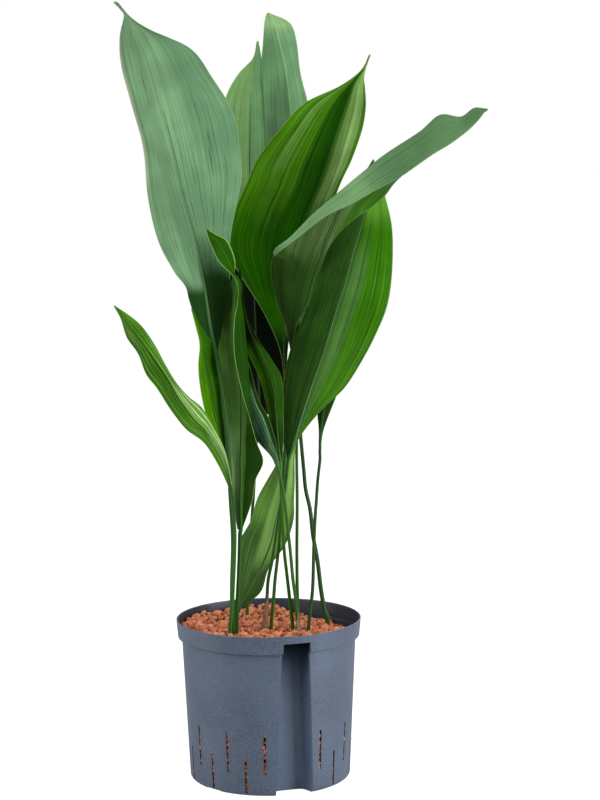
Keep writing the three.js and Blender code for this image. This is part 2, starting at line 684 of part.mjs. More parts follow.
// ---------------------------------------------------------------- clay
// The granules at the top: a sheet of six-sided peaks, each with its own height and offset.
function granuleField() {
  const reach = POT.rimRadius + CLAY.granule;
  const rowPitch = CLAY.granule * Math.sqrt(0.75);
  const rows = Math.ceil(reach / rowPitch);
  const columns = Math.ceil(reach / CLAY.granule);
  const positions = [];
  const index = [];
  const vertex = (x, y, z) => positions.push(x, y, z) / 3 - 1;
  const corners = new Map();
  const mound = (x, y) => CLAY.level + CLAY.mound * Math.exp(-((x * x + y * y) / CLAY.moundRadius ** 2));
  const cornerAt = (x, y) => {
    const key = `${Math.round(x * 10)},${Math.round(y * 10)}`;
    if (!corners.has(key)) {
      const n = corners.size;
      const dx = CLAY.valleyShift * (random(n) - 0.5);
      const dy = CLAY.valleyShift * (random(n + 0.5) - 0.5);
      corners.set(key, vertex(x + dx, y + dy, mound(x, y) - CLAY.valleyDip * random(n + 0.25)));
    }
    return corners.get(key);
  };
  for (let i = -rows; i <= rows; i++)
    for (let j = -columns; j <= columns; j++) {
      const x = (j + (i % 2 ? 0.5 : 0)) * CLAY.granule;
      const y = i * rowPitch;
      const n = (i + rows) * 100 + j + columns;
      const peak = vertex(
        x + CLAY.peakShift * (random(n) - 0.5),
        y + CLAY.peakShift * (random(n + 0.4) - 0.5),
        mound(x, y) + CLAY.bump * (0.6 + 0.8 * random(n + 0.7)),
      );
      const ring = Array.from({ length: 6 }, (_, k) => {
        const a = Math.PI / 6 + (Math.PI / 3) * k;
        const r = CLAY.granule / Math.sqrt(3);
        return cornerAt(x + r * Math.cos(a), y + r * Math.sin(a));
      });
      ring.forEach((corner, k) => index.push(peak, corner, ring[(k + 1) % 6]));
    }
  // Sides and bottom: each open edge drops to the ground and closes on one point under the middle.
  const used = new Set();
  for (let i = 0; i < index.length; i += 3)
    for (let k = 0; k < 3; k++) used.add(`${index[i + k]},${index[i + ((k + 1) % 3)]}`);
  const middle = vertex(0, 0, -BEYOND);
  const dropped = new Map();
  const dropOf = (v) => {
    if (!dropped.has(v)) dropped.set(v, vertex(positions[3 * v], positions[3 * v + 1], -BEYOND));
    return dropped.get(v);
  };
  for (const edge of used) {
    const [a, b] = edge.split(",").map(Number);
    if (used.has(`${b},${a}`)) continue;
    index.push(b, a, dropOf(a), b, dropOf(a), dropOf(b), dropOf(b), dropOf(a), middle);
  }
  return solid(indexed(positions, index));
}

// The biggest body of a solid: cuts near its edge can leave loose scraps.
function biggest(made) {
  return made.decompose().reduce((best, body) => (body.volume() > best.volume() ? body : best));
}

function claySolid() {
  let made = potInside(CLAY.gap, POT.height, CLAY.sides).intersect(granuleField());
  for (const leaf of Object.values(LEAVES)) made = made.subtract(stemHole(leaf, STEM_GAP));
  const sheathGap = SHEATH.innerRadius + SHEATH.thickness + SHEATH.flare + STEM_GAP - STEM.footRadius;
  for (const { leaf } of Object.values(SHEATHS))
    made = made.subtract(stemHole(LEAVES[leaf], sheathGap, SHEATH.low));
  return biggest(made.subtract(rhizomeSolid(STEM_GAP)));
}

// A plain upright hole for a stem, a little wider than it.
function stemHole(leaf, gap, low = STEM.footLevel) {
  const [x, y] = leaf.stem[0];
  const points = [vec([x, y, low - STEM_GAP]), vec([x, y, POT.height])];
  return solid(tube(points, () => STEM.footRadius + gap, STEM.holeSides, AXIS_X));
}

// ---------------------------------------------------------------- rhizome and sheaths
function rhizomeSolid(grow = 0) {
  let made = null;
  const join = (piece) => {
    made = made ? made.add(piece) : piece;
  };
  RHIZOME_RUNS.forEach((run) => {
    join(solid(tube(run.map(vec), () => RHIZOME.radius + grow, RHIZOME.sides, AXIS_Z)));
  });
  for (let i = 0; i < RHIZOME.roots; i++) {
    const run = RHIZOME_RUNS[i % RHIZOME_RUNS.length];
    const start = new THREE.CatmullRomCurve3(run.map(vec)).getPoint(0.15 + 0.7 * random(i + 3));
    const swing = 2 * Math.PI * random(i + 40);
    const points = [0, 1, 2, 3].map((k) => {
      const reach = RHIZOME.rootReach * k + RHIZOME.rootShift * random(i * 7 + k);
      const step = [reach * Math.cos(swing), reach * Math.sin(swing), -RHIZOME.rootDrop * k];
      return start.clone().add(vec(step));
    });
    const radiusAt = (t) => RHIZOME.rootRadius * (1 - 0.4 * t) + grow;
    join(solid(tube(points, radiusAt, RHIZOME.rootSides, AXIS_X)));
  }
  return made;
}

function seatedRhizome() {
  let made = rhizomeSolid();
  for (const leaf of Object.values(LEAVES)) made = made.subtract(stemHole(leaf, STEM_GAP));
  return made;
}

// A pointed scale leaf, curled round its stem from inside the clay to its tip.
function sheathSolid({ leaf, facing, height }) {
  const stem = stemPoints(LEAVES[leaf]);
  const axis = new THREE.CurvePath();
  for (let k = 0; k < 3; k++) axis.add(new THREE.LineCurve3(stem[k], stem[k + 1]));
  const length = axis.getLength();
  const radius = SHEATH.innerRadius + SHEATH.thickness / 2;
  const grid = [];
  for (let i = 0; i <= SHEATH.rowSteps; i++) {
    const t = i / SHEATH.rowSteps;
    const rise = THREE.MathUtils.lerp(SHEATH.low, CLAY.level + height, t);
    const centre = axis.getPointAt((rise - STEM.footLevel) / length);
    const wrap = THREE.MathUtils.lerp(SHEATH.wrap, SHEATH.tipWrap, t ** 3);
    grid.push(
      Array.from({ length: SHEATH.columnSteps + 1 }, (_, j) => {
        const a = rad(facing + wrap * (1 - (2 * j) / SHEATH.columnSteps));
        const r = radius + SHEATH.flare * t;
        return centre.clone().add(new THREE.Vector3(r * Math.cos(a), r * Math.sin(a), 0));
      }),
    );
  }
  return solid(sheet(grid, SHEATH.thickness));
}

// ---------------------------------------------------------------- assembly
const plant = new THREE.Group();
plant.add(meshOf("pot", potSolid(), COLORS.pot, 0.55));
plant.add(meshOf("clay_fill", claySolid(), COLORS.clay, 0.95));
plant.add(meshOf("rhizome", seatedRhizome(), COLORS.rhizome, 0.9));
for (const [name, leaf] of Object.entries(LEAVES))
  plant.add(meshOf(name, leafSolid(leaf), COLORS.leaf, 0.45));
for (const [name, sheath] of Object.entries(SHEATHS))
  plant.add(meshOf(name, sheathSolid(sheath), COLORS.sheath, 0.85));

export default plant;
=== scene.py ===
"""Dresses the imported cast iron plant: veined leaf blades, stems, clay granules and the slotted pot."""
import math

import bmesh
import bpy
import numpy as np
from mathutils import Matrix, Vector


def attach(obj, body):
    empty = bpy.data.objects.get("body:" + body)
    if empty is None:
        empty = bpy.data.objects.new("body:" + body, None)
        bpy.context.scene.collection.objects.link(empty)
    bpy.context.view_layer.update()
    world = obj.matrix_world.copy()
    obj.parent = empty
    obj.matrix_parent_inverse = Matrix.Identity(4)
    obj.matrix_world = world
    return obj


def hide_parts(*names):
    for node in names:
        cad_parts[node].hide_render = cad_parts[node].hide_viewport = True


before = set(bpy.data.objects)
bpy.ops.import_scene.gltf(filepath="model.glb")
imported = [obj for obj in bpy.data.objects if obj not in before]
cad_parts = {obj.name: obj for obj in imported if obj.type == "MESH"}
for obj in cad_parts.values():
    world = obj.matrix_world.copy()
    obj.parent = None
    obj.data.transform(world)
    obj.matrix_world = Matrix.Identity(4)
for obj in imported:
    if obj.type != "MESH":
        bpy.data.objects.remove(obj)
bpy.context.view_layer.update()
MM = 0.001
rng = np.random.default_rng(7)

# ---------------------------------------------------------------- sizes, in millimetres
# Counts, and shares of a length or a width, have no unit.
# "row_steps" and "columns" say how finely a blade is divided between its rows and across.
BLADE = {
    "thickness": 0.6, "margin": 0.3, "margin_taper": 6.0,
    "wave": 1.6, "waves": 3.5, "right_phase": 1.1,
    "row_steps": 12, "columns": 40, "folded_columns": 54, "vein_step": 3.4,
}
PLEAT = {"height": 0.22, "count": 22, "steady": 0.6, "beat": 5.0, "room": (8.0, 40.0), "ends": 0.1}
GROOVE = {"depth": 0.9, "width": 2.6, "taper": 0.6}
STEM = {"low": 150, "clear": 186, "foot": 2.2, "neck": 1.8, "steps": 8, "sides": 14}
FULL_FOOT, FULL_NECK = 3.0, 2.5
# The midrib's radii at shares of the blade's length, how far it stands out of the blade as a share
# of its radius, and over which shares it rises out of the blade and takes its own colour.
RIB = {
    "shares": [0.1, 0.4, 0.9], "radii": [1.6, 0.9, 0.3], "steps": 60,
    "stand": 0.55, "rise": 0.08, "tint": 0.12,
}
STREAK_ENDS = {"along": 0.1, "across": 0.12}
SEED_STEP = 3.7

POT = {
    "rim": 110.0, "height": 190.0, "band": 21.0, "band_foot": 108.0, "wall_top": 103.5, "wall_foot": 95.5,
    "fillet": 3.0, "wall": 1.6, "floor": 2.5, "step": 2.0,
}
BAND_LOW = POT["height"] - POT["band"]
# Loops of points on each stretch of the pot, and the small offsets of the loops at its edges.
LOOPS = {"foot": [0.0, 0.35, 1.1, 2.2], "wall": 24, "band": 5, "rim": 7, "cap": 4, "ledge": 3, "inner": 12}
EDGES = {
    "bottom": 0.9, "band_in": 0.7, "band_below": 0.5, "band_above": 0.2, "band_next": 2.0,
    "rim_outer": 1.4, "rim_inner": 1.5, "rim_rise": 1.0, "rim_arc": (20.0, 160.0), "under_ledge": 1.0,
    "inner_foot": 0.9,
}
# Points of one loop round the wall and in the recess.
POINTS = {"wall": 260, "recess": 70}
GAUGE = {"azimuth": 17.0, "top": 30.0, "foot": 44.0, "depth": 21.0, "strip": 9.0, "shoulder": 9.0}
# The gauge recess's floor: right (1) or left (-1) side, inset from that side, rise over the floor.
GAUGE_SECTION = [
    (1, 0.0, 17.0), (1, 2.0, 11.0), (1, 5.0, 4.0), (1, 9.0, 1.0), (1, 14.0, 0.0),
    (-1, 7.0, 0.0), (-1, 3.0, 1.5), (-1, 0.5, 5.0),
]
# The recess's right mouth is rounded by this much, through these shares of it, outwards and inwards.
MOUTH_ROUND = 4.5
MOUTH_CURVE = [(0.55, -0.02), (0.15, 0.3)]
# The recess is painted with shade over this depth from its mouth and from this height up to its roof,
# and painted lighter, by this share, lower down.
RECESS_SHADE = {"depth": 3.0, "from": 90.0, "painted_low_light": 0.25}
FLAT = {"azimuth": 131.0, "inset": 7.6, "ledge": 15.0, "least_facing": 0.2}
SLOT = {"count": 25, "first": 36.4, "last": 356.4, "width": 3.0, "reach": 12.0}
SLOT_ROWS = [(26.0, 73.0), (3.0, 44.0)]
SLOT_AZIMUTHS = np.linspace(SLOT["first"], SLOT["last"], SLOT["count"])
NOTCH = {"azimuth": -45.0, "width": 25.0, "reach": 4.0, "low": -3.0, "high": 2.2}
SHARP_EDGE = 32

# The clay's level, a low rise in it behind, and its fall to the right at the back.
CLAY_LEVEL = 180.0
CLAY_RISE = {"height": 3.0, "place": (14, 85), "size": (30, 40)}
CLAY_FALL = {"height": 11.0, "way": (0.75, 0.6), "range": (30, 85), "right": 30}
# Granules stand this far over the level, up and down by the roughness, and the share of a granule's
# radius that has to clear the wall.
GRANULE = {"stand": 3.0, "roughness": 2.4, "clear": 0.9}
# Granule layers: grid spacing and shake, least and greatest radius, drop under the fill's level,
# and how much painted shade darkens the layer, from 0 to 1.
GRANULE_LAYERS = [
    (30.0, 9.0, (4.8, 6.4), -1.4, 0.0),
    (7.6, 2.3, (2.4, 4.7), 0.0, 0.0),
    (7.4, 1.5, (3.0, 4.2), 4.6, 0.45),
]
# Granules behind the slots; their shade share is painted shade that darkens them.
SLOT_GRANULES = {
    "spacing": 6.2, "shake": 1.6, "radii": (2.8, 4.0), "side": 1.2, "radius": 95, "press": (0.3, 1.5),
    "least": 6, "shade": 0.25,
}
# By the gauge box granules keep clear of its roof. Elsewhere the topmost may lean over the wall.
BY_GAUGE = {"half_angle": 0.36, "keep": 2.5}
OVER_WALL = {"above": 172, "reach": 4.5}
PEBBLE = {"stretch": (0.78, 1.18), "wave": 2.5, "dent": 0.12}
# Painted shade on the granules' lower sides: it starts this far over the fill's level, is full this many
# millimetres lower, and is capped at this share.
SUNK_SHADE = {"from": 1.0, "full": 5.5, "most": 0.9}
# The core is a dark surface under the granules, painted wholly in the clay's shade colour.
CORE = {
    "sides": 144, "heights": [3.5, 20, 60, 100, 140, 160, 170, 171], "wall_top": 168.0,
    "gap": 2.2, "top_gap": 12,
}

SHEATHS = {
    "sheath_front": {"leaf": "leaf_centre", "facing": -80.0, "height": 42.0},
    "sheath_right": {"leaf": "leaf_inner_folded", "facing": -60.0, "height": 24.0},
}
SHEATH = {
    "radius": 3.0, "low": 165.0, "foot": 178.0, "flare": 0.5, "wrap": 66.0, "tip": 16.0,
    "half_thickness": 0.2, "torn": 0.06, "tears": 19, "crinkle": 0.25, "crinkles": (9, 6),
    "curl": 0.5, "point": 3.0, "bow": 4, "steps": 40, "columns": 28,
}

# Each leaf's stem, as places from the clay to the blade.
STEMS = {
    "leaf_tall_left": [
        (-42, -50, 179), (-42, -51, 233), (-40, -52, 292), (-42, -53, 339), (-44, -55, 386),
        (-47, -57, 433), (-51, -58, 473), (-55, -58, 500),
    ],
    "leaf_back_top": [
        (36, 30, 176), (35, 31, 215), (35, 32, 264), (36, 33, 325), (36, 34, 391), (38, 36, 445),
        (39, 38, 487),
    ],
    "leaf_back_left": [
        (-26, 42, 177), (-24, 41, 226), (-21, 40, 270), (-19, 39, 300), (-16, 37, 337), (-14, 35, 374),
        (-12, 34, 398),
    ],
    "leaf_centre": [
        (-6, -25, 179), (-2, -24, 215), (0, -23, 239), (5, -21, 262), (11, -18, 297), (17, -15, 333),
        (20, -11, 368), (22, -8, 403),
    ],
    "leaf_sweep_right": [
        (70, 3, 176), (67, 4, 196), (63, 5, 220), (59, 8, 256), (54, 10, 286), (51, 13, 316), (46, 15, 340),
        (44, 17, 363), (41, 19, 399), (39, 19, 429), (37, 17, 459), (35, 13, 484),
    ],
    "leaf_broad_right": [
        (3, -36, 177), (6, -36, 218), (8, -35, 241), (11, -34, 265), (15, -31, 300), (19, -28, 335),
        (23, -25, 364),
    ],
    "leaf_rolled": [(-38, -43, 180), (-35, -44, 232), (-33, -45, 267), (-32, -46, 297)],
    "leaf_slim_left": [(-44, -43, 179), (-42, -44, 232), (-40, -46, 291), (-41, -47, 338), (-43, -48, 364)],
    "leaf_striped_left": [
        (-45, -56, 179), (-41, -57, 234), (-38, -58, 293), (-39, -59, 323), (-40, -60, 340),
    ],
    "leaf_low_centre": [(-38, 10, 176)],
    "leaf_back_right": [
        (47, -36, 176), (52, -30, 228), (54, -22, 274), (56, -15, 308), (58, -9, 331), (60, -3, 354),
        (63, 4, 377),
    ],
    "leaf_inner_olive": [
        (28, -33, 177), (25, -34, 217), (22, -35, 247), (19, -37, 277), (18, -38, 307), (17, -38, 336),
        (16, -38, 357),
    ],
    "leaf_inner_folded": [
        (34, -36, 177), (32, -38, 218), (29, -40, 242), (26, -43, 278), (23, -45, 308), (20, -46, 337),
        (17, -46, 358),
    ],
}

# Each leaf's blade, as rows from base to tip. A row runs from the left margin over the midrib to the
# right margin, as seen from the front. A folded leaf has one more place in each row, on its fold, and
# its midrib's number in the row is given here.
FOLDED = {"leaf_sweep_right": 2, "leaf_rolled": 1}
BLADES = {
    "leaf_tall_left": [
        [(-58, -59, 514), (-57, -59, 512), (-54, -59, 514)],
        [(-78, -45, 545), (-62, -60, 542), (-48, -55, 542)],
        [(-87, -40, 570), (-66, -60, 571), (-41, -54, 573)],
        [(-91, -42, 586), (-68, -61, 587), (-40, -55, 589)],
        [(-104, -45, 604), (-71, -63, 603), (-39, -56, 607)],
        [(-121, -51, 639), (-77, -66, 639), (-38, -57, 643)],
        [(-131, -58, 687), (-91, -73, 696), (-25, -64, 706)],
        [(-135, -66, 743), (-100, -80, 740), (-26, -72, 742)],
        [(-147, -77, 793), (-112, -92, 789), (-33, -83, 781)],
        [(-156, -92, 833), (-123, -104, 832), (-55, -96, 818)],
        [(-156, -108, 862), (-135, -115, 863), (-78, -110, 849)],
        [(-150, -122, 883), (-143, -124, 879), (-120, -121, 868)],
        [(-153, -128, 890), (-149, -130, 888), (-140, -128, 880)],
        [(-160, -136, 897), (-158, -136, 898), (-155, -136, 897)],
    ],
    "leaf_back_top": [
        [(38, 38, 517), (40, 38, 517), (41, 38, 517)], [(23, 45, 565), (40, 44, 565), (56, 49, 564)],
        [(9, 56, 625), (39, 54, 624), (67, 63, 624)], [(-1, 72, 696), (38, 68, 696), (71, 79, 696)],
        [(-6, 92, 781), (34, 88, 780), (59, 100, 783)], [(-3, 107, 835), (29, 103, 835), (47, 115, 836)],
        [(1, 118, 872), (22, 116, 872), (43, 126, 873)], [(3, 129, 897), (17, 128, 893), (38, 136, 895)],
        [(5, 135, 908), (14, 135, 905), (29, 143, 905)], [(7, 139, 913), (9, 140, 913), (14, 141, 911)],
    ],
    "leaf_back_left": [
        [(-12, 33, 416), (-11, 33, 416), (-10, 33, 416)], [(-26, 31, 453), (-8, 28, 453), (18, 31, 452)],
        [(-41, 32, 504), (-10, 28, 507), (24, 32, 504)], [(-46, 36, 566), (-12, 29, 566), (24, 34, 565)],
        [(-50, 43, 637), (-14, 34, 637), (14, 37, 637)], [(-55, 51, 708), (-16, 40, 708), (9, 44, 708)],
        [(-52, 58, 768), (-15, 47, 767), (4, 49, 767)], [(-44, 62, 806), (-14, 52, 805), (2, 53, 805)],
        [(-29, 63, 833), (-11, 55, 832), (0, 55, 832)], [(-11, 61, 852), (-7, 58, 853), (-1, 57, 853)],
        [(-6, 59, 872), (-5, 59, 872), (-4, 59, 872)],
    ],
    "leaf_centre": [
        [(21, -4, 432), (23, -4, 432), (24, -4, 432)], [(21, 3, 479), (23, 0, 479), (25, 2, 479)],
        [(15, 7, 514), (22, 3, 512), (27, 6, 514)], [(-4, 10, 556), (22, 3, 553), (35, 8, 555)],
        [(-27, 6, 594), (27, -6, 593), (47, 2, 584)], [(-44, -1, 629), (37, -14, 631), (65, -5, 628)],
        [(-35, -8, 670), (49, -20, 667), (79, -11, 675)], [(-21, -13, 701), (63, -24, 698), (90, -17, 704)],
        [(-7, -16, 731), (73, -29, 726), (102, -21, 729)],
        [(20, -23, 765), (85, -34, 761), (114, -27, 763)],
        [(47, -29, 793), (95, -39, 789), (118, -34, 789)],
        [(88, -37, 812), (104, -43, 813), (117, -40, 809)],
        [(112, -45, 829), (115, -47, 830), (116, -44, 824)],
        [(121, -51, 846), (122, -51, 846), (123, -51, 846)],
    ],
    "leaf_sweep_right": [
        [(30, 8, 503), (31, 8, 503), (33, 8, 503), (35, 9, 503)],
        [(25, -3, 532), (30, -5, 532), (35, -5, 531), (40, -3, 531)],
        [(20, -9, 547), (30, -13, 547), (39, -14, 545), (42, -13, 547)],
        [(15, -14, 562), (30, -19, 562), (48, -21, 561), (51, -18, 562)],
        [(8, -22, 591), (32, -27, 591), (57, -26, 591), (60, -20, 591)],
        [(8, -32, 613), (34, -33, 613), (64, -29, 612), (67, -21, 612)],
        [(13, -44, 621), (15, -41, 626), (69, -34, 633), (76, -24, 630)],
        [(37, -59, 639), (32, -48, 642), (77, -39, 653), (89, -27, 647)],
        [(70, -70, 664), (57, -54, 668), (89, -44, 677), (105, -29, 661)],
        [(99, -75, 678), (83, -59, 689), (104, -49, 695), (121, -31, 672)],
        [(126, -78, 693), (110, -65, 711), (124, -55, 710), (139, -38, 687)],
        [(153, -81, 707), (138, -72, 733), (147, -64, 725), (153, -52, 705)],
        [(188, -89, 731), (175, -84, 757), (182, -79, 745), (186, -72, 732)],
        [(208, -94, 743), (197, -94, 775), (204, -90, 761), (208, -84, 748)],
        [(227, -100, 757), (220, -98, 773), (224, -95, 766), (226, -92, 760)],
        [(239, -105, 769), (234, -105, 782), (237, -103, 777), (239, -100, 772)],
        [(246, -110, 779), (247, -110, 781), (248, -110, 781), (249, -110, 780)],
    ],
    "leaf_broad_right": [
        [(24, -23, 382), (25, -24, 381), (27, -23, 382)], [(18, -18, 410), (34, -24, 408), (40, -20, 409)],
        [(17, -16, 442), (44, -24, 440), (65, -16, 439)], [(20, -14, 465), (54, -23, 469), (93, -12, 465)],
        [(27, -12, 503), (67, -21, 504), (117, -8, 502)], [(38, -12, 531), (76, -18, 532), (132, -4, 531)],
        [(49, -5, 559), (85, -12, 560), (143, 2, 557)], [(54, 4, 585), (94, -2, 585), (149, 12, 584)],
        [(63, 16, 615), (104, 12, 619), (152, 25, 618)], [(78, 29, 646), (115, 29, 652), (152, 41, 652)],
        [(96, 45, 680), (123, 46, 684), (146, 58, 685)], [(114, 60, 705), (129, 64, 710), (139, 72, 710)],
        [(132, 83, 731), (133, 83, 732), (134, 83, 731)],
    ],
    "leaf_rolled": [
        [(-35, -44, 303), (-31, -46, 303), (-30, -46, 303), (-29, -46, 304)],
        [(-40, -42, 335), (-31, -47, 338), (-23, -48, 338), (-18, -45, 335)],
        [(-41, -40, 361), (-30, -48, 362), (-21, -49, 362), (-13, -45, 361)],
        [(-43, -38, 384), (-30, -49, 385), (-16, -51, 385), (-4, -47, 383)],
        [(-44, -38, 407), (-29, -49, 408), (-18, -54, 409), (-12, -55, 408)],
        [(-47, -37, 431), (-29, -48, 432), (-17, -56, 431), (-19, -61, 435)],
        [(-51, -36, 460), (-29, -47, 460), (-19, -58, 461), (-27, -67, 464)],
        [(-56, -38, 495), (-31, -48, 495), (-20, -60, 496), (-34, -71, 497)],
        [(-59, -39, 518), (-31, -49, 518), (-22, -62, 519), (-36, -75, 520)],
        [(-53, -43, 547), (-33, -53, 547), (-24, -64, 548), (-35, -79, 549)],
        [(-44, -41, 569), (-34, -56, 570), (-27, -69, 571), (-31, -81, 569)],
        [(-40, -48, 585), (-32, -67, 591), (-28, -75, 593), (-32, -84, 593)],
        [(-33, -71, 612), (-40, -76, 614), (-46, -80, 614), (-51, -83, 615)],
        [(-41, -75, 637), (-51, -80, 636), (-55, -82, 635), (-60, -84, 634)],
        [(-53, -80, 645), (-59, -82, 644), (-61, -83, 643), (-63, -84, 642)],
        [(-62, -85, 650), (-63, -85, 651), (-64, -85, 651), (-65, -85, 649)],
    ],
    "leaf_slim_left": [
        [(-46, -49, 383), (-44, -49, 382), (-43, -48, 383)],
        [(-58, -52, 409), (-51, -54, 409), (-44, -49, 409)],
        [(-70, -54, 442), (-60, -58, 443), (-47, -50, 442)],
        [(-75, -55, 468), (-65, -60, 470), (-51, -52, 469)],
        [(-77, -57, 495), (-70, -63, 498), (-55, -49, 497)],
        [(-75, -62, 520), (-72, -66, 522), (-59, -57, 519)],
        [(-79, -66, 541), (-76, -68, 541), (-71, -67, 537)],
        [(-84, -70, 562), (-83, -70, 562), (-82, -70, 561)],
    ],
    "leaf_striped_left": [
        [(-43, -62, 352), (-42, -62, 355), (-40, -61, 356)],
        [(-55, -70, 381), (-49, -72, 392), (-47, -68, 396)],
        [(-71, -78, 409), (-66, -83, 422), (-61, -75, 429)],
        [(-91, -86, 426), (-81, -90, 439), (-73, -83, 450)],
        [(-107, -93, 448), (-97, -98, 463), (-88, -89, 464)],
        [(-122, -100, 474), (-109, -105, 486), (-102, -96, 482)],
        [(-134, -106, 491), (-122, -110, 507), (-113, -102, 502)],
        [(-142, -111, 514), (-133, -114, 524), (-124, -108, 525)],
        [(-154, -115, 533), (-145, -117, 541), (-137, -114, 545)],
        [(-160, -120, 554), (-155, -120, 555), (-151, -119, 558)],
        [(-167, -123, 568), (-166, -123, 569), (-165, -123, 568)],
    ],
    "leaf_low_centre": [
        [(-36, 9, 200), (-34, 8, 200), (-31, 9, 201)], [(-37, 9, 221), (-23, 6, 219), (-9, 9, 218)],
        [(-37, 9, 250), (-11, 5, 243), (1, 8, 247)], [(-33, 9, 280), (3, 4, 276), (21, 7, 275)],
        [(-20, 8, 305), (10, 3, 306), (31, 7, 305)], [(-12, 8, 331), (16, 3, 330), (32, 7, 329)],
        [(0, 8, 353), (21, 3, 354), (33, 7, 353)], [(11, 7, 372), (25, 3, 375), (33, 6, 377)],
        [(22, 6, 392), (31, 4, 395), (35, 5, 396)], [(40, 4, 418), (41, 4, 419), (42, 4, 418)],
    ],
    "leaf_back_right": [
        [(62, 6, 386), (63, 6, 386), (64, 6, 389)], [(62, 10, 412), (65, 10, 414), (68, 13, 412)],
        [(61, 16, 435), (71, 15, 445), (80, 20, 442)], [(67, 28, 468), (84, 27, 477), (97, 35, 479)],
        [(80, 47, 514), (104, 46, 526), (121, 53, 523)], [(97, 67, 561), (121, 66, 575), (138, 72, 567)],
        [(114, 86, 601), (133, 85, 615), (144, 87, 605)],
        [(142, 102, 644), (143, 102, 645), (144, 102, 644)],
    ],
    "leaf_inner_olive": [
        [(14, -38, 374), (16, -38, 373), (17, -38, 374)], [(6, -28, 408), (13, -35, 406), (20, -32, 408)],
        [(2, -28, 437), (11, -36, 438), (20, -30, 437)], [(-2, -30, 457), (9, -37, 462), (20, -29, 464)],
        [(-8, -33, 480), (4, -38, 484), (17, -27, 482)], [(-19, -30, 504), (-5, -36, 508), (6, -24, 501)],
        [(-28, -25, 527), (-18, -30, 534), (-13, -21, 531)],
        [(-34, -20, 557), (-25, -23, 564), (-24, -17, 561)],
        [(-30, -10, 603), (-29, -10, 604), (-27, -10, 603)],
    ],
    "leaf_inner_folded": [
        [(12, -45, 371), (14, -46, 373), (15, -45, 374)], [(5, -44, 388), (10, -47, 391), (13, -43, 393)],
        [(-10, -41, 405), (2, -45, 408), (10, -39, 409)], [(-19, -39, 421), (-7, -43, 431), (3, -36, 432)],
        [(-26, -38, 442), (-16, -42, 452), (-8, -36, 453)],
        [(-33, -36, 477), (-25, -40, 489), (-18, -34, 490)],
        [(-33, -33, 529), (-32, -33, 530), (-30, -33, 529)],
    ],
}



# ---------------------------------------------------------------- mesh helpers
def spline(points, t):
    """Catmull-Rom curve through points along axis 0, its ends reflected, at each t from 0 to 1."""
    points = np.asarray(points, float)
    last = len(points) - 1
    padded = np.concatenate([2 * points[:1] - points[1:2], points, 2 * points[-1:] - points[-2:-1]])
    place = np.asarray(t, float) * last
    i = np.minimum(place.astype(int), last - 1)
    w = (place - i).reshape((-1,) + (1,) * (points.ndim - 1))
    before, here, there, after = (padded[i + k] for k in range(4))
    leave, arrive = (there - before) / 2, (after - here) / 2
    return (
        (2 * w**3 - 3 * w**2 + 1) * here
        + (w**3 - 2 * w**2 + w) * leave
        + (3 * w**2 - 2 * w**3) * there
        + (w**3 - w**2) * arrive
    )


def smooth(low, high, x):
    """0 below low, 1 above high, and an even S between them."""
    t = np.clip((np.asarray(x, float) - low) / (high - low), 0, 1)
    return t * t * (3 - 2 * t)


def window(x, low, high, soft):
    """1 between low and high, and soft falls to 0 outside."""
    return smooth(low - soft, low, x) * (1 - smooth(high, high + soft, x))


def unit(v):
    """Vectors along the last axis, made one long."""
    return v / np.maximum(np.linalg.norm(v, axis=-1, keepdims=True), 1e-9)


def grid_normals(grid):
    """Cross product of the steps along and across a grid of points."""
    return unit(np.cross(np.gradient(grid, axis=0), np.gradient(grid, axis=1)))


def from_axis(reach, azimuth, z):
    """Points at a reach from the pot's axis, an azimuth from the front towards the right, and a height."""
    return np.stack([reach * np.sin(azimuth), -reach * np.cos(azimuth), np.broadcast_to(z, reach.shape)], -1)


def turned(x, y, angle):
    """Places x, y turned about the pot's axis, from the front towards the right."""
    c, s = math.cos(angle), math.sin(angle)
    return x * c - y * s, x * s + y * c


def quad_grid(rows, columns, start=0, wrap=False, flip=False):
    """Corner numbers of the quads between rows x columns points; wrap closes each row."""
    i, j = np.meshgrid(np.arange(rows - 1), np.arange(columns if wrap else columns - 1), indexing="ij")
    k = (j + 1) % columns
    a, b = i * columns + j, (i + 1) * columns + j
    c, d = (i + 1) * columns + k, i * columns + k
    quads = np.stack([a, d, c, b] if flip else [a, b, c, d], -1)
    return quads.reshape(-1, 4) + start


def ring_faces(rings, sides, start=0):
    """The faces of a closed tube of rings whose points begin at start: its skin and its two ends."""
    last = start + (rings - 1) * sides
    ends = [list(range(start + sides - 1, start - 1, -1)), list(range(last, last + sides))]
    return quad_grid(rings, sides, start, wrap=True, flip=True).tolist() + ends


def sheet_faces(rows, columns):
    """The faces of a closed sheet: its back of rows x columns points, its front of as many more, and
    a band that joins them round the margin."""
    count = rows * columns
    ring = np.concatenate([
        np.arange(columns), np.arange(1, rows) * columns + columns - 1,
        (rows - 1) * columns + np.arange(columns - 2, -1, -1), np.arange(rows - 2, 0, -1) * columns,
    ])
    after = np.roll(ring, -1)
    band = np.stack([ring, after, after + count, ring + count], -1)
    return quad_grid(rows, columns), quad_grid(rows, columns, count, flip=True), band


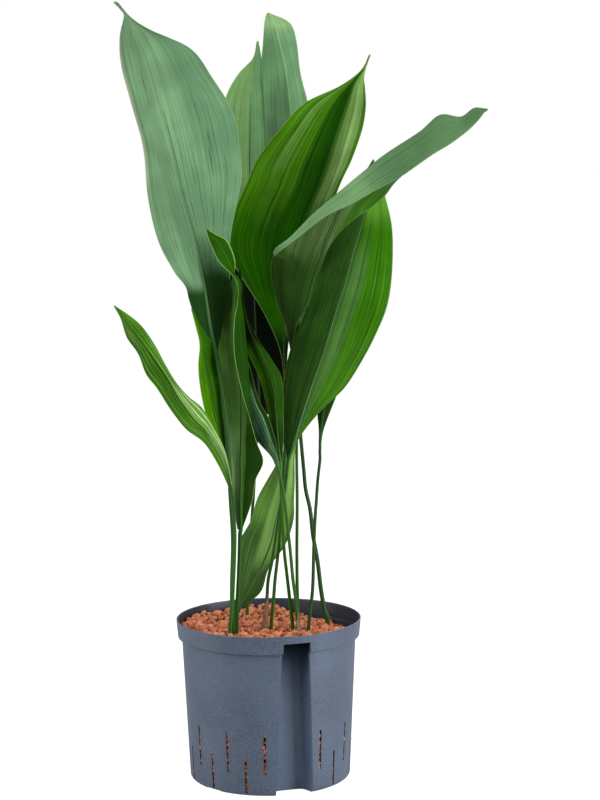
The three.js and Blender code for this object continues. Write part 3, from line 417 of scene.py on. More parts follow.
def make_piece(name, points, faces, materials, part=None, uv=None, traits=None):
    """A mesh object from points in millimetres. part gives each face's material number, uv each
    point's place on its surface, and traits each point's named values, of 1 or 4 numbers."""
    mesh = bpy.data.meshes.new(name)
    mesh.from_pydata((np.asarray(points) * MM).tolist(), [], [list(map(int, f)) for f in faces])
    mesh.update()
    if part is not None:
        mesh.polygons.foreach_set("material_index", np.asarray(part, np.int32))
    corners = np.zeros(len(mesh.loops), np.int32)
    mesh.loops.foreach_get("vertex_index", corners)
    if uv is not None:
        layer = mesh.uv_layers.new(name="surface")
        layer.data.foreach_set("uv", np.asarray(uv, np.float32)[corners].ravel())
    for key, values in (traits or {}).items():
        values = np.asarray(values, np.float32)
        if values.ndim == 1:
            mesh.attributes.new(key, "FLOAT", "POINT").data.foreach_set("value", values)
        else:
            mesh.attributes.new(key, "FLOAT_COLOR", "POINT").data.foreach_set("color", values.ravel())
    mesh.polygons.foreach_set("use_smooth", np.ones(len(mesh.polygons), bool))
    for material in materials:
        mesh.materials.append(material)
    piece = bpy.data.objects.new(name, mesh)
    bpy.context.scene.collection.objects.link(piece)
    return piece


def tube_surface(centres, radii, sides):
    """Rings of points: each lies across the path at its centre, with its radius."""
    tangent = unit(np.gradient(centres, axis=0))
    normal = unit(np.cross(np.broadcast_to((1.0, 0.0, 0.0), tangent.shape), tangent))
    binormal = np.cross(tangent, normal)
    a = 2 * np.pi * np.arange(sides) / sides
    ring = np.cos(a)[None, :, None] * normal[:, None] + np.sin(a)[None, :, None] * binormal[:, None]
    return centres[:, None] + radii[:, None, None] * ring


# ---------------------------------------------------------------- material helpers
def linear(color):
    """A 0-255 sRGB colour as linear light."""
    c = np.asarray(color, float) / 255
    return np.where(c <= 0.04045, c / 12.92, ((c + 0.055) / 1.055) ** 2.4)


def rgba(color):
    return (*[float(c) for c in linear(color)], 1.0)


class Nodes:
    """Short calls that add nodes to one tree and link them."""

    def __init__(self, tree):
        self.tree = tree

    def add(self, kind, values=None, **settings):
        node = self.tree.nodes.new(kind)
        for key, value in settings.items():
            setattr(node, key, value)
        for key, value in (values or {}).items():
            self.put(node.inputs[key], value)
        return node

    def put(self, socket, value):
        if isinstance(value, bpy.types.NodeSocket):
            self.tree.links.new(value, socket)
        else:
            socket.default_value = value

    def math(self, operation, a, b=0.0, c=0.0):
        return self.add("ShaderNodeMath", {0: a, 1: b, 2: c}, operation=operation).outputs[0]

    def times(self, a, b):
        return self.math("MULTIPLY", a, b)

    def spread(self, value, low, high, to_low=0.0, to_high=1.0, soft=True):
        """The value's range low to high laid over to_low to to_high."""
        kind = "SMOOTHSTEP" if soft else "LINEAR"
        sockets = {"Value": value, "From Min": low, "From Max": high, "To Min": to_low, "To Max": to_high}
        return self.add("ShaderNodeMapRange", sockets, interpolation_type=kind).outputs["Result"]

    def mix(self, factor, a, b, blend="MIX"):
        """Colour a with colour b laid over it by a factor."""
        node = self.add("ShaderNodeMix", data_type="RGBA", blend_type=blend)
        for number, value in zip((0, 6, 7), (factor, a, b)):
            self.put(node.inputs[number], value)
        return node.outputs[2]

    def shaded(self, color, gain):
        """The colour made lighter or darker by a factor."""
        return self.mix(1.0, color, self.vector(gain, gain, gain), "MULTIPLY")

    def noise(self, vector, scale, detail=3.0, roughness=0.55):
        sockets = {"Vector": vector, "Scale": scale, "Detail": detail, "Roughness": roughness}
        return self.add("ShaderNodeTexNoise", sockets).outputs["Fac"]

    def vector(self, x, y, z=0.0):
        return self.add("ShaderNodeCombineXYZ", {0: x, 1: y, 2: z}).outputs[0]

    def place(self):
        """A point's place on its object, in metres."""
        return self.add("ShaderNodeTexCoord").outputs["Object"]

    def surface(self):
        """A point's places along and across its surface."""
        uv = self.add("ShaderNodeUVMap", uv_map="surface").outputs[0]
        return self.add("ShaderNodeSeparateXYZ", {0: uv}).outputs[:2]

    def trait(self, name, output="Fac"):
        return self.add("ShaderNodeAttribute", attribute_name=name).outputs[output]

    def bump(self, height, strength, distance):
        sockets = {"Height": height, "Strength": strength, "Distance": distance}
        return self.add("ShaderNodeBump", sockets).outputs["Normal"]


def new_group(name, inputs, outputs):
    """An empty shader node group with named number inputs and outputs, and its two end nodes."""
    group = bpy.data.node_groups.new(name, "ShaderNodeTree")
    for way, labels in (("INPUT", inputs), ("OUTPUT", outputs)):
        for label in labels:
            group.interface.new_socket(label, in_out=way, socket_type="NodeSocketFloat")
    n = Nodes(group)
    return group, n, n.add("NodeGroupInput"), n.add("NodeGroupOutput")


def new_material(name, **surface):
    """A material with a Principled BSDF whose constant sockets are set from surface."""
    material = bpy.data.materials.new(name)
    material.use_nodes = True
    shader = material.node_tree.nodes["Principled BSDF"]
    for key, value in surface.items():
        shader.inputs[key.replace("_", " ").title().replace("Ior", "IOR")].default_value = value
    return material, Nodes(material.node_tree), shader


# ---------------------------------------------------------------- leaf materials
def vein_group():
    """Lengthwise veins: noise stretched along the blade, and dark lines at even steps across it."""
    outputs = ("Fine", "Broad", "Lines", "Dashes")
    group, n, start, end = new_group("veins", ("Along", "Across", "Seed"), outputs)
    along, across, seed = (start.outputs[k] for k in ("Along", "Across", "Seed"))

    def stretched(across_scale, along_scale, detail=2.0):
        place = n.vector(n.times(across, across_scale), n.times(along, along_scale), seed)
        return n.noise(place, 1.0, detail)

    n.put(end.inputs["Fine"], stretched(1.9, 2.4))
    n.put(end.inputs["Broad"], stretched(0.42, 1.2))
    phase = n.math("MULTIPLY_ADD", stretched(0.3, 1.0), 3.0, across)
    ridge = n.math("PINGPONG", phase, 0.5)
    patchy = n.spread(stretched(0.9, 5.0), 0.35, 0.62)
    n.put(end.inputs["Lines"], n.times(n.spread(ridge, 0.04, 0.2, 1.0, 0.0), patchy))
    n.put(end.inputs["Dashes"], n.spread(stretched(1.3, 7.0, 3.0), 0.60, 0.68))
    return group


VEINS = vein_group()
LEAF_COLORS = {"cream": (184, 198, 146), "edge": (128, 162, 82)}
UPPER_FACE = {
    "roughness": 0.45, "specular": 0.02, "vein_depth": 0.34, "line_depth": 0.42,
    "streak": (120, 160, 60), "rib": (70, 112, 20),
}
UNDER_FACE = {
    "roughness": 0.6, "specular": 0.06, "vein_depth": 0.2, "line_depth": 0.2,
    "streak": (140, 170, 116), "rib": (136, 170, 116),
}


def leaf_material(name, face):
    """A leaf face: the painted colour, which holds painted shade and painted sheen on some leaves, varied by
    veins, soft blotches and painted shade in creases, with pale streaks, midrib and margin, and a thin
    gloss."""
    material, n, shader = new_material(name, coat_roughness=0.35, specular_ior_level=face["specular"])
    along, _ = n.surface()
    veins = n.add("ShaderNodeGroup", node_tree=VEINS)
    for label, value in (("Along", along), ("Across", n.trait("lines")), ("Seed", n.trait("seed"))):
        n.put(veins.inputs[label], value)
    fine, broad, lines, dashes = veins.outputs
    lift = n.math("ADD", n.spread(fine, 0.3, 0.7, -0.5, 0.5), n.spread(broad, 0.3, 0.7, -0.4, 0.4))
    gain = n.math("MULTIPLY_ADD", lift, face["vein_depth"], 1.0)
    gain = n.math("MULTIPLY_ADD", lines, -face["line_depth"], gain)
    # Dark dashes, as strong as the look's creases: painted shade in fine creases.
    creases = n.times(dashes, n.trait("creases"))
    gain = n.times(gain, n.math("MULTIPLY_ADD", creases, -0.4, 1.0))
    color = n.shaded(n.trait("paint", "Color"), gain)
    streaks = n.times(n.spread(fine, 0.53, 0.62), n.trait("streaks"))
    streak_color = n.mix(n.trait("cream"), rgba(face["streak"]), rgba(LEAF_COLORS["cream"]))
    color = n.mix(streaks, color, streak_color)
    rib = n.times(n.spread(n.trait("rib_mm"), 0.4, 1.4, 1.0, 0.0), n.trait("rib_pale"))
    color = n.mix(rib, color, rgba(face["rib"]))
    edge = n.times(n.spread(n.trait("edge_mm"), 0.3, 1.2, 1.0, 0.0), n.trait("edge_pale"))
    color = n.mix(edge, color, rgba(LEAF_COLORS["edge"]))
    color = n.shaded(color, n.spread(n.noise(n.place(), 22.0, 2.0), 0.3, 0.7, 0.82, 1.06))
    n.put(shader.inputs["Base Color"], color)
    low, high = face["roughness"], face["roughness"] + 0.12
    n.put(shader.inputs["Roughness"], n.spread(broad, 0.3, 0.7, low, high))
    n.put(shader.inputs["Coat Weight"], n.times(n.trait("gloss"), 0.02))
    height = n.math("MULTIPLY_ADD", fine, 0.6, n.times(lines, -0.5))
    n.put(shader.inputs["Normal"], n.bump(height, 0.5, 0.0006))
    return material


def stem_material():
    """Stem skin: green with darker and paler lines along it, and a waxy gloss."""
    material, n, shader = new_material("stem_skin", specular_ior_level=0.15)
    along, across = n.surface()
    lines = n.noise(n.vector(n.times(across, 7.0), n.times(along, 3.0), n.trait("seed")), 1.0, 3.0)
    color = n.shaded(n.trait("paint", "Color"), n.spread(lines, 0.3, 0.7, 0.5, 1.5))
    n.put(shader.inputs["Base Color"], color)
    n.put(shader.inputs["Roughness"], n.spread(lines, 0.3, 0.7, 0.36, 0.5))
    n.put(shader.inputs["Normal"], n.bump(lines, 0.5, 0.0005))
    return material


LEAF_UPPER = leaf_material("leaf_upper", UPPER_FACE)
LEAF_UNDER = leaf_material("leaf_under", UNDER_FACE)
STEM_SKIN = stem_material()


# ---------------------------------------------------------------- leaf colours
def wash(color, strength, along, across, soft=0.12, lean=0.0):
    """A colour laid over a leaf face: its strength, its range along the blade (0 base, 1 tip) and
    across it (-1 left margin, 0 midrib, 1 right margin, seen from the front), how softly it ends, and
    how far it leans right over the whole length."""
    return {
        "color": color, "strength": strength, "along": along, "across": across, "soft": soft, "lean": lean,
    }


# Veins of the sweeping leaf: up to the fold, a share of the blade's width, they keep to the columns.
# On the body they count over a width in millimetres from its left side to its right side, each given
# as (height, x) places.
SWEEP_GUIDES = {
    "fold": 0.34,
    "width": 75.0,
    "sides": [
        [(430, 24), (520, 12), (580, 6), (625, 8), (665, 20), (720, 45), (765, 77), (800, 125)],
        [(430, 30), (535, 40), (590, 55), (630, 71), (675, 90), (705, 113), (740, 148), (775, 192)],
    ],
}
ALL = (-1.2, 1.2)
# Each leaf: the face that looks to the front, the colours of its upper face, underside, stem and
# midrib, how strongly midrib, margin, creases, cream streaks and gloss show, washes over the front
# face and over the back, and streaks as (strength, range along, range across).
# Washes marked below as painted shade, painted sheen and painted light stand in for light, not the leaf's
# own colour.
LOOKS = {
    "leaf_tall_left": {
        "front": "under", "upper": (52, 100, 14), "under": (104, 146, 106), "stem": (37, 77, 23),
        "rib": (74, 108, 66), "rib_pale": 0.8, "creases": 1.0, "gloss": 0.3,
        "foot": FULL_FOOT, "neck": FULL_NECK,
        "washes": [
            # Painted sheen: paler over the upper blade towards the tip.
            wash((124, 166, 122), 0.8, (0.62, 1.2), (-0.7, 0.3), 0.2),
            # Painted shade: darker at the foot, on the right and on the left.
            wash((20, 54, 8), 0.97, (-0.2, 0.27), (0.0, 1.2), 0.17),
            wash((16, 60, 0), 0.97, (-0.2, 0.17), (-1.2, -0.05), 0.09),
            # Painted highlight: a pale band on the left half.
            wash((120, 162, 118), 0.7, (0.32, 0.48), (-1.2, -0.45), 0.07),
            wash((176, 172, 146), 0.65, (0.5, 0.78), (-1.2, -0.93), 0.04),
        ],
    },
    "leaf_back_top": {
        "front": "under", "upper": (50, 98, 18), "under": (95, 133, 92), "stem": (38, 87, 14),
        "rib": (112, 148, 100), "rib_pale": 0.5, "creases": 0.8, "gloss": 0.2,
        "washes": [
            wash((128, 162, 104), 0.6, (0.82, 1.2), ALL, 0.1),
            wash((84, 124, 84), 0.6, (-0.2, 0.62), (-0.9, 0.3), 0.15),
        ],
    },
    "leaf_back_left": {
        "front": "under", "upper": (50, 98, 18), "under": (96, 136, 88), "stem": (34, 77, 14),
        # The dark midrib colour is painted shade, like the near-black wash at the foot.
        "rib": (34, 52, 26), "rib_pale": 0.3, "creases": 0.5, "gloss": 0.2,
        "washes": [
            wash((112, 152, 88), 0.75, (0.5, 1.2), (-1.2, -0.1), 0.1),
            wash((96, 140, 94), 0.7, (0.3, 1.0), (0.1, 1.2), 0.12),
            wash((40, 70, 34), 0.6, (0.4, 0.95), (0.85, 1.4), 0.1),
            # Painted shade: near black over the lower blade.
            wash((4, 14, 2), 0.99, (-0.2, 0.36), ALL, 0.06),
        ],
    },
    "leaf_centre": {
        "front": "upper", "upper": (26, 76, 0), "under": (104, 144, 101), "stem": (33, 73, 10),
        "rib": (40, 84, 10), "rib_pale": 0.4, "edge_pale": 0.8, "cream": 0.7, "gloss": 1.0,
        "washes": [
            wash((70, 128, 14), 0.9, (0.4, 0.95), (-1.2, -0.42), 0.12),
            # Painted highlight: a small sheen patch on the left half.
            wash((116, 158, 80), 0.35, (0.62, 0.82), (-0.72, -0.6), 0.06),
            wash((22, 70, 0), 0.8, (0.36, 0.8), (-0.3, -0.04), 0.08),
            wash((108, 152, 74), 0.85, (0.46, 0.95), (0.1, 0.8), 0.08),
            wash((118, 160, 82), 0.85, (0.5, 0.95), (0.5, 1.0), 0.1),
            wash((42, 112, 0), 0.8, (-0.2, 0.4), (-1.2, 0.2), 0.14),
            # Painted light: paler low on the right half, against the sweeping leaf's shadow there.
            wash((140, 178, 104), 0.9, (-0.2, 0.36), (0.1, 1.2), 0.1),
            wash((56, 116, 4), 0.9, (0.5, 1.1), (0.84, 1.3), 0.06),
            # Painted shade: near black at the foot.
            wash((6, 18, 0), 0.95, (-0.2, 0.15), ALL, 0.06),
        ],
        "streaks": [(0.75, (0.42, 0.94), (0.16, 0.74)), (0.04, (0.3, 0.9), (-0.85, -0.3))],
    },
    "leaf_sweep_right": {
        "front": "upper", "upper": (54, 86, 34), "under": (108, 148, 100), "stem": (37, 73, 24),
        "rib_pale": 0.2, "gloss": 0.35, "foot": FULL_FOOT,
        "washes": [
            wash((34, 62, 16), 0.8, (-0.2, 0.28), ALL, 0.12),
            wash((90, 118, 68), 0.55, (0.42, 0.66), (-0.1, 0.6), 0.16),
            wash((56, 102, 24), 0.85, (0.45, 0.75), (0.74, 1.3), 0.08),
            wash((84, 124, 82), 0.8, (0.7, 1.2), ALL, 0.1),
        ],
        "back": [wash((82, 122, 78), 0.8, (0.7, 1.2), ALL, 0.12)],
        "guides": SWEEP_GUIDES,
    },
    "leaf_broad_right": {
        "front": "upper", "upper": (46, 96, 4), "under": (104, 144, 101), "stem": (36, 77, 15),
        "rib": (60, 96, 56), "rib_pale": 0.15, "gloss": 0.9,
        "washes": [
            # Painted shade: the left half darker, where it passes under the sweeping leaf.
            wash((38, 70, 22), 0.9, (0.0, 1.0), (-1.2, -0.02), 0.1),
            # Painted sheen: a pale blue-grey band beside the midrib.
            wash((72, 112, 54), 0.7, (0.04, 0.62), (0.08, 0.34), 0.12, 0.1),
            wash((44, 100, 0), 0.92, (0.3, 0.9), (0.5, 1.3), 0.12),
            wash((52, 104, 14), 0.7, (-0.2, 0.34), (0.45, 1.3), 0.12),
            wash((92, 144, 46), 0.6, (0.8, 1.0), (0.1, 1.2), 0.08),
        ],
        "streaks": [(0.1, (0.15, 0.6), (0.5, 0.95))],
    },
    "leaf_rolled": {
        "front": "under", "upper": (22, 62, 0), "under": (67, 105, 40), "stem": (38, 79, 19),
        "rib_pale": 0.2, "edge_pale": 1.0, "gloss": 0.6, "foot": FULL_FOOT, "neck": FULL_NECK,
        "washes": [
            wash((20, 52, 0), 0.97, (-0.2, 0.3), (0.0, 1.2), 0.12),
            wash((104, 142, 88), 0.7, (-0.2, 0.26), (-1.3, -0.3), 0.08),
            wash((30, 78, 0), 0.85, (0.68, 1.2), ALL, 0.06),
        ],
        "back": [
            wash((18, 48, 2), 0.7, (-0.2, 0.3), ALL, 0.1),
            wash((30, 78, 0), 0.8, (0.64, 1.2), ALL, 0.08),
        ],
    },
    "leaf_slim_left": {
        "front": "upper", "upper": (78, 142, 2), "under": (88, 130, 70), "stem": (37, 78, 18),
        "rib": (40, 92, 2), "rib_pale": 0.2, "gloss": 0.5,
        "washes": [wash((34, 84, 0), 0.85, (-0.2, 1.2), (0.1, 1.3), 0.12)],
    },
    "leaf_striped_left": {
        "front": "upper", "upper": (58, 116, 4), "under": (100, 140, 80), "stem": (41, 82, 22),
        "rib": (96, 140, 60), "rib_pale": 0.1, "cream": 1.0, "gloss": 0.7, "foot": FULL_NECK,
        "washes": [
            wash((44, 94, 6), 0.6, (0.45, 0.9), (-0.7, 0.2), 0.12),
            wash((150, 184, 116), 0.22, (0.12, 0.36), (0.1, 0.9), 0.1),
            wash((134, 160, 104), 0.6, (-0.1, 0.16), (-0.4, 0.9), 0.06),
        ],
        "streaks": [(0.85, (0.02, 0.42), (-0.1, 1.0)), (0.18, (0.1, 0.9), (-0.9, 0.9))],
    },
    "leaf_low_centre": {
        "front": "under", "upper": (50, 98, 18), "under": (84, 126, 50), "stem": (45, 77, 30),
        "rib": (60, 90, 36), "rib_pale": 0.1, "gloss": 0.3,
        "washes": [
            wash((40, 72, 30), 0.75, (-0.2, 0.36), ALL, 0.14),
            wash((124, 168, 84), 0.9, (0.34, 0.76), (-0.3, 0.7), 0.14),
        ],
        "streaks": [(0.12, (0.2, 0.9), ALL)],
    },
    "leaf_back_right": {
        "front": "upper", "upper": (34, 74, 6), "under": (84, 118, 76), "stem": (30, 70, 12),
        "rib_pale": 0.2, "gloss": 0.4,
        "washes": [wash((22, 50, 6), 0.8, (-0.2, 0.6), ALL, 0.15)],
    },
    "leaf_inner_olive": {
        "front": "upper", "upper": (36, 70, 6), "under": (70, 100, 50), "stem": (42, 89, 7),
        "rib": (30, 66, 6), "rib_pale": 0.1, "gloss": 0.4,
        "washes": [
            wash((62, 116, 6), 0.85, (0.05, 0.75), (-1.3, -0.6), 0.08),
            wash((28, 66, 2), 0.8, (0.1, 0.6), (0.0, 0.9), 0.12),
            wash((22, 52, 4), 0.8, (-0.2, 0.16), ALL, 0.1),
            # Painted shade: near black at the tip, in the dark middle of the plant.
            wash((4, 14, 2), 0.95, (0.72, 1.3), ALL, 0.08),
        ],
    },
    "leaf_inner_folded": {
        "front": "upper", "upper": (26, 52, 10), "under": (70, 100, 60), "stem": (50, 89, 26),
        "rib": (60, 96, 70), "rib_pale": 0.1, "gloss": 0.3,
        "washes": [
            wash((58, 96, 70), 0.85, (0.0, 0.7), (-0.9, 0.4), 0.1),
            wash((18, 44, 8), 0.8, (-0.2, 0.8), (0.5, 1.2), 0.1),
            # Painted shade: near black at the tip, in the dark middle of the plant.
            wash((4, 14, 2), 0.95, (0.8, 1.3), ALL, 0.1),
        ],
        "streaks": [(0.85, (0.0, 0.7), (-1.0, 0.3))],
    },
}
# What a look that doesn't name one of these has.
USUAL = {"cream": 0.0, "creases": 0.0, "rib_pale": 0.2, "edge_pale": 0.3, "gloss": 0.3}


def painted(base, washes, u, s):
    """The base colour with each wash laid over it in turn, at blade places u and s, one per row."""
    color = np.broadcast_to(linear(base), u.shape + (3,)).copy()
    for w in washes:
        across = s - w["lean"] * (u - 0.5)
        amount = w["strength"] * window(u, *w["along"], w["soft"]) * window(across, *w["across"], w["soft"])
        color += amount[..., None] * (linear(w["color"]) - color)
    return color.reshape(-1, 3)


# ---------------------------------------------------------------- leaves
def guided_lines(guides, grid, lines, v):
    """Vein places for a folded leaf: up to the fold they keep to the columns, and on the body they
    count from the left guide to the right guide, each an x for a list of heights."""
    left, right = (np.interp(grid[..., 2], *np.array(side, float).T) for side in guides["sides"])
    across = (grid[..., 0] - left) / (right - left) * guides["width"] / BLADE["vein_step"]
    return np.where(v > guides["fold"], across, lines)


def blade_surface(name, seed):
    """The blade's middle surface: Catmull-Rom rails from base to tip, and a Catmull-Rom curve across
    them. Waves at the margins, lengthwise pleats and a groove over the midrib are added to it."""
    rows, folded = np.array(BLADES[name], float), name in FOLDED
    columns = BLADE["folded_columns"] if folded else BLADE["columns"]
    u, v = np.linspace(0, 1, BLADE["row_steps"] * (len(rows) - 1) + 1), np.linspace(0, 1, columns + 1)
    grid = spline(spline(rows, u).transpose(1, 0, 2), v).transpose(1, 0, 2)
    u, v = np.meshgrid(u, v, indexing="ij")
    s = 2 * v - 1
    if not folded:
        turns = 2 * np.pi * BLADE["waves"] * u + BLADE["right_phase"] * (s > 0)
        grid[..., 1] += BLADE["wave"] * np.sin(np.pi * u) * np.abs(s) ** 3 * np.sin(turns)
    width = np.linalg.norm(np.diff(grid, axis=1), axis=-1).sum(1)[:, None]
    rib_v = FOLDED.get(name, 1) / (rows.shape[1] - 1)
    from_rib = np.abs(v - rib_v) * width
    from_edge = np.minimum(v, 1 - v) * width
    room = smooth(*PLEAT["room"], width) * np.ones_like(v)
    ends = smooth(0, PLEAT["ends"], u) * smooth(1, 1 - PLEAT["ends"], u)
    beat = PLEAT["steady"] + (1 - PLEAT["steady"]) * np.sin(PLEAT["beat"] * u + seed)
    pleat = PLEAT["height"] * np.cos(2 * np.pi * PLEAT["count"] * v + seed) * room * ends * beat
    groove = GROOVE["depth"] * np.exp(-((from_rib / GROOVE["width"]) ** 2)) * room
    upper_way = 1.0 if LOOKS[name]["front"] == "under" else -1.0
    grid = grid + (pleat - upper_way * groove * (1 - GROOVE["taper"] * u))[..., None] * grid_normals(grid)
    return grid, u, v, s, from_rib, from_edge, rib_v


def stem_surface(name, normals, rib_v):
    """A leaf's stem as rings of points, from the clay into the blade and on along the midrib at the
    underside, and how far each ring has the midrib's own colour."""
    look, rails = LOOKS[name], np.array(BLADES[name], float)
    foot, neck = look.get("foot", STEM["foot"]), look.get("neck", STEM["neck"])
    rib_u = np.linspace(0, RIB["shares"][-1], RIB["steps"])
    rib_rail = spline(rails[:, FOLDED.get(name, 1)], rib_u)
    rib_radii = np.interp(rib_u, [0, *RIB["shares"]], [neck, *RIB["radii"]])
    rib_normals = spline(normals[:, round(rib_v * (normals.shape[1] - 1))], rib_u)
    under_way = -1.0 if look["front"] == "under" else 1.0
    stand = under_way * RIB["stand"] * rib_radii * smooth(0, RIB["rise"], rib_u)
    x, y, _ = STEMS[name][0]
    places = [(x, y, STEM["low"]), (x, y, STEM["clear"]), *STEMS[name][1:], tuple(rib_rail[0])]
    stem = spline(places, np.linspace(0, 1, STEM["steps"] * (len(places) - 1) + 1))[:-1]
    path = np.concatenate([stem, rib_rail + stand[:, None] * rib_normals])
    radii = np.concatenate([np.linspace(foot, neck, len(stem)), rib_radii])
    tint = np.concatenate([np.zeros(len(stem)), smooth(0, RIB["tint"], rib_u)])
    return tube_surface(path, radii, STEM["sides"]), tint


def leaf_piece(name, seed):
    """A leaf as one mesh: two blade faces joined round the margin, and the stem that runs into the
    midrib along the underside."""
    look = LOOKS[name]
    grid, u, v, s, from_rib, from_edge, rib_v = blade_surface(name, seed)
    normals = grid_normals(grid)
    body = smooth(0, BLADE["margin_taper"], from_edge)
    half = 0.5 * (BLADE["margin"] + (BLADE["thickness"] - BLADE["margin"]) * body)[..., None] * normals
    tube, tint = stem_surface(name, normals, rib_v)
    rings, sides = tube.shape[:2]
    points = np.concatenate([sheet.reshape(-1, 3) for sheet in (grid + half, grid - half, tube)])
    sheets = sheet_faces(*u.shape)
    skin = ring_faces(rings, sides, 2 * u.size)
    faces = np.concatenate(sheets).tolist() + skin

    front = look["front"]
    back = "under" if front == "upper" else "upper"
    slots = {"upper": 0, "under": 1, "stem": 2}
    owners = [slots[back], slots[front], slots["upper"], slots["stem"]]
    part = np.repeat(owners, [*map(len, sheets), len(skin)])
    stem_color, rib_color = linear(look["stem"]), linear(look.get("rib", look["stem"]))
    stem_paint = stem_color + np.repeat(tint, sides)[:, None] * (rib_color - stem_color)
    paint = np.concatenate([
        painted(look[back], look.get("back", []), u, s), painted(look[front], look["washes"], u, s),
        stem_paint,
    ])
    width = np.linalg.norm(np.diff(grid, axis=1), axis=-1).sum(1).max()
    lines = v * width / BLADE["vein_step"]
    if "guides" in look:
        lines = guided_lines(look["guides"], grid, lines, v)
    streaks = np.zeros(u.shape)
    for strength, along, across in look.get("streaks", []):
        shown = window(u, *along, STREAK_ENDS["along"]) * window(s, *across, STREAK_ENDS["across"])
        streaks = np.maximum(streaks, strength * shown)
    tube_u, tube_v = np.meshgrid(np.linspace(0, 1, rings), np.arange(sides) / sides, indexing="ij")

    def everywhere(on_blade, on_stem):
        """Both blade faces' values and then the stem's, one number per point."""
        return np.concatenate([np.ravel(a) for a in (on_blade, on_blade, on_stem)])

    bare = np.zeros(tube_u.shape)
    traits = {
        "paint": np.concatenate([paint, np.ones((len(points), 1))], -1),
        "seed": np.full(len(points), seed),
        "streaks": everywhere(streaks, bare), "lines": everywhere(lines, tube_v),
        "rib_mm": everywhere(from_rib, bare), "edge_mm": everywhere(from_edge, bare),
    }
    traits.update({key: np.full(len(points), look.get(key, usual)) for key, usual in USUAL.items()})
    surface = np.stack([everywhere(u, tube_u), everywhere(v, tube_v)], -1)
    skins = [LEAF_UPPER, LEAF_UNDER, STEM_SKIN]
    piece = make_piece(name + "_fine", points, faces, skins, part, surface, traits)
    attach(piece, "root")
    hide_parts(name)


for number, leaf_name in enumerate(BLADES, 1):
    leaf_piece(leaf_name, SEED_STEP * number)


# ---------------------------------------------------------------- pot
def wall_radius(z):
    """The wall's outer radius at a height."""
    return POT["wall_foot"] + (POT["wall_top"] - POT["wall_foot"]) * z / BAND_LOW


def band_radius(z):
    """The rim band's outer radius at a height."""
    return POT["band_foot"] + (POT["rim"] - POT["band_foot"]) * (z - BAND_LOW) / POT["band"]


def gauge_half(z):
    """Half the gauge recess's width at a height."""
    return (GAUGE["foot"] + (GAUGE["top"] - GAUGE["foot"]) * z / POT["height"]) / 2


def cut_by_flat(reach, chord, azimuth):
    """The reach, held back to a straight chord where it looks to the flat behind."""
    facing = np.cos(azimuth - math.radians(FLAT["azimuth"]))
    held = np.minimum(reach, chord / np.maximum(facing, FLAT["least_facing"]))
    return np.where(facing > FLAT["least_facing"], held, reach)


def recess_run(radius, half, first, floor, t):
    """Places t along the open recess, from its left edge over its floor to its rounded right mouth:
    a Catmull-Rom curve through its corners, kept inside the circle."""
    mouth = -math.sqrt(radius**2 - half**2)
    corners = [(radius * math.sin(first), -radius * math.cos(first))]
    corners += [(half + out * MOUTH_ROUND, mouth + back * MOUTH_ROUND) for out, back in MOUTH_CURVE]
    corners += [(side * (half - inset), -(floor + rise)) for side, inset, rise in GAUGE_SECTION]
    corners = np.array(corners + [(-half, -(floor + GAUGE["shoulder"])), (-half, mouth)])
    length = np.concatenate([[0], np.cumsum(np.linalg.norm(np.diff(corners, axis=0), axis=1))])
    x, y = spline(corners, np.interp(t * length[-1], length, np.linspace(0, 1, len(corners)))).T
    return x[::-1], np.maximum(y, -np.sqrt(np.maximum(radius**2 - x**2, 0)))[::-1]


def pot_outline(radius, z, grow, recess, flat):
    """One level of the pot as a closed loop: a circle of the given radius, cut by a flat chord behind,
    then the recess's run of points from its left edge to its right edge."""
    half = gauge_half(z) + grow
    turn = math.radians(GAUGE["azimuth"])
    edge = math.asin(half / radius)
    first = math.asin((half + MOUTH_ROUND) / radius) if recess else edge
    azimuth = np.linspace(first, 2 * np.pi - edge, POINTS["wall"]) + turn
    reach = np.full(POINTS["wall"], radius)
    if flat:
        reach = cut_by_flat(reach, wall_radius(z) - FLAT["inset"] - grow, azimuth)
    t = np.linspace(0, 1, POINTS["recess"] + 2)[1:-1]
    if recess:
        x, y = recess_run(radius, half, first, wall_radius(z) - GAUGE["depth"] - grow, t)
    else:
        x, y = radius * np.sin(edge * (2 * t - 1)), -radius * np.cos(edge * (2 * t - 1))
    run = np.stack([*turned(x, y, turn), np.full(len(t), z)], -1)
    return np.concatenate([from_axis(reach, azimuth, z), run])


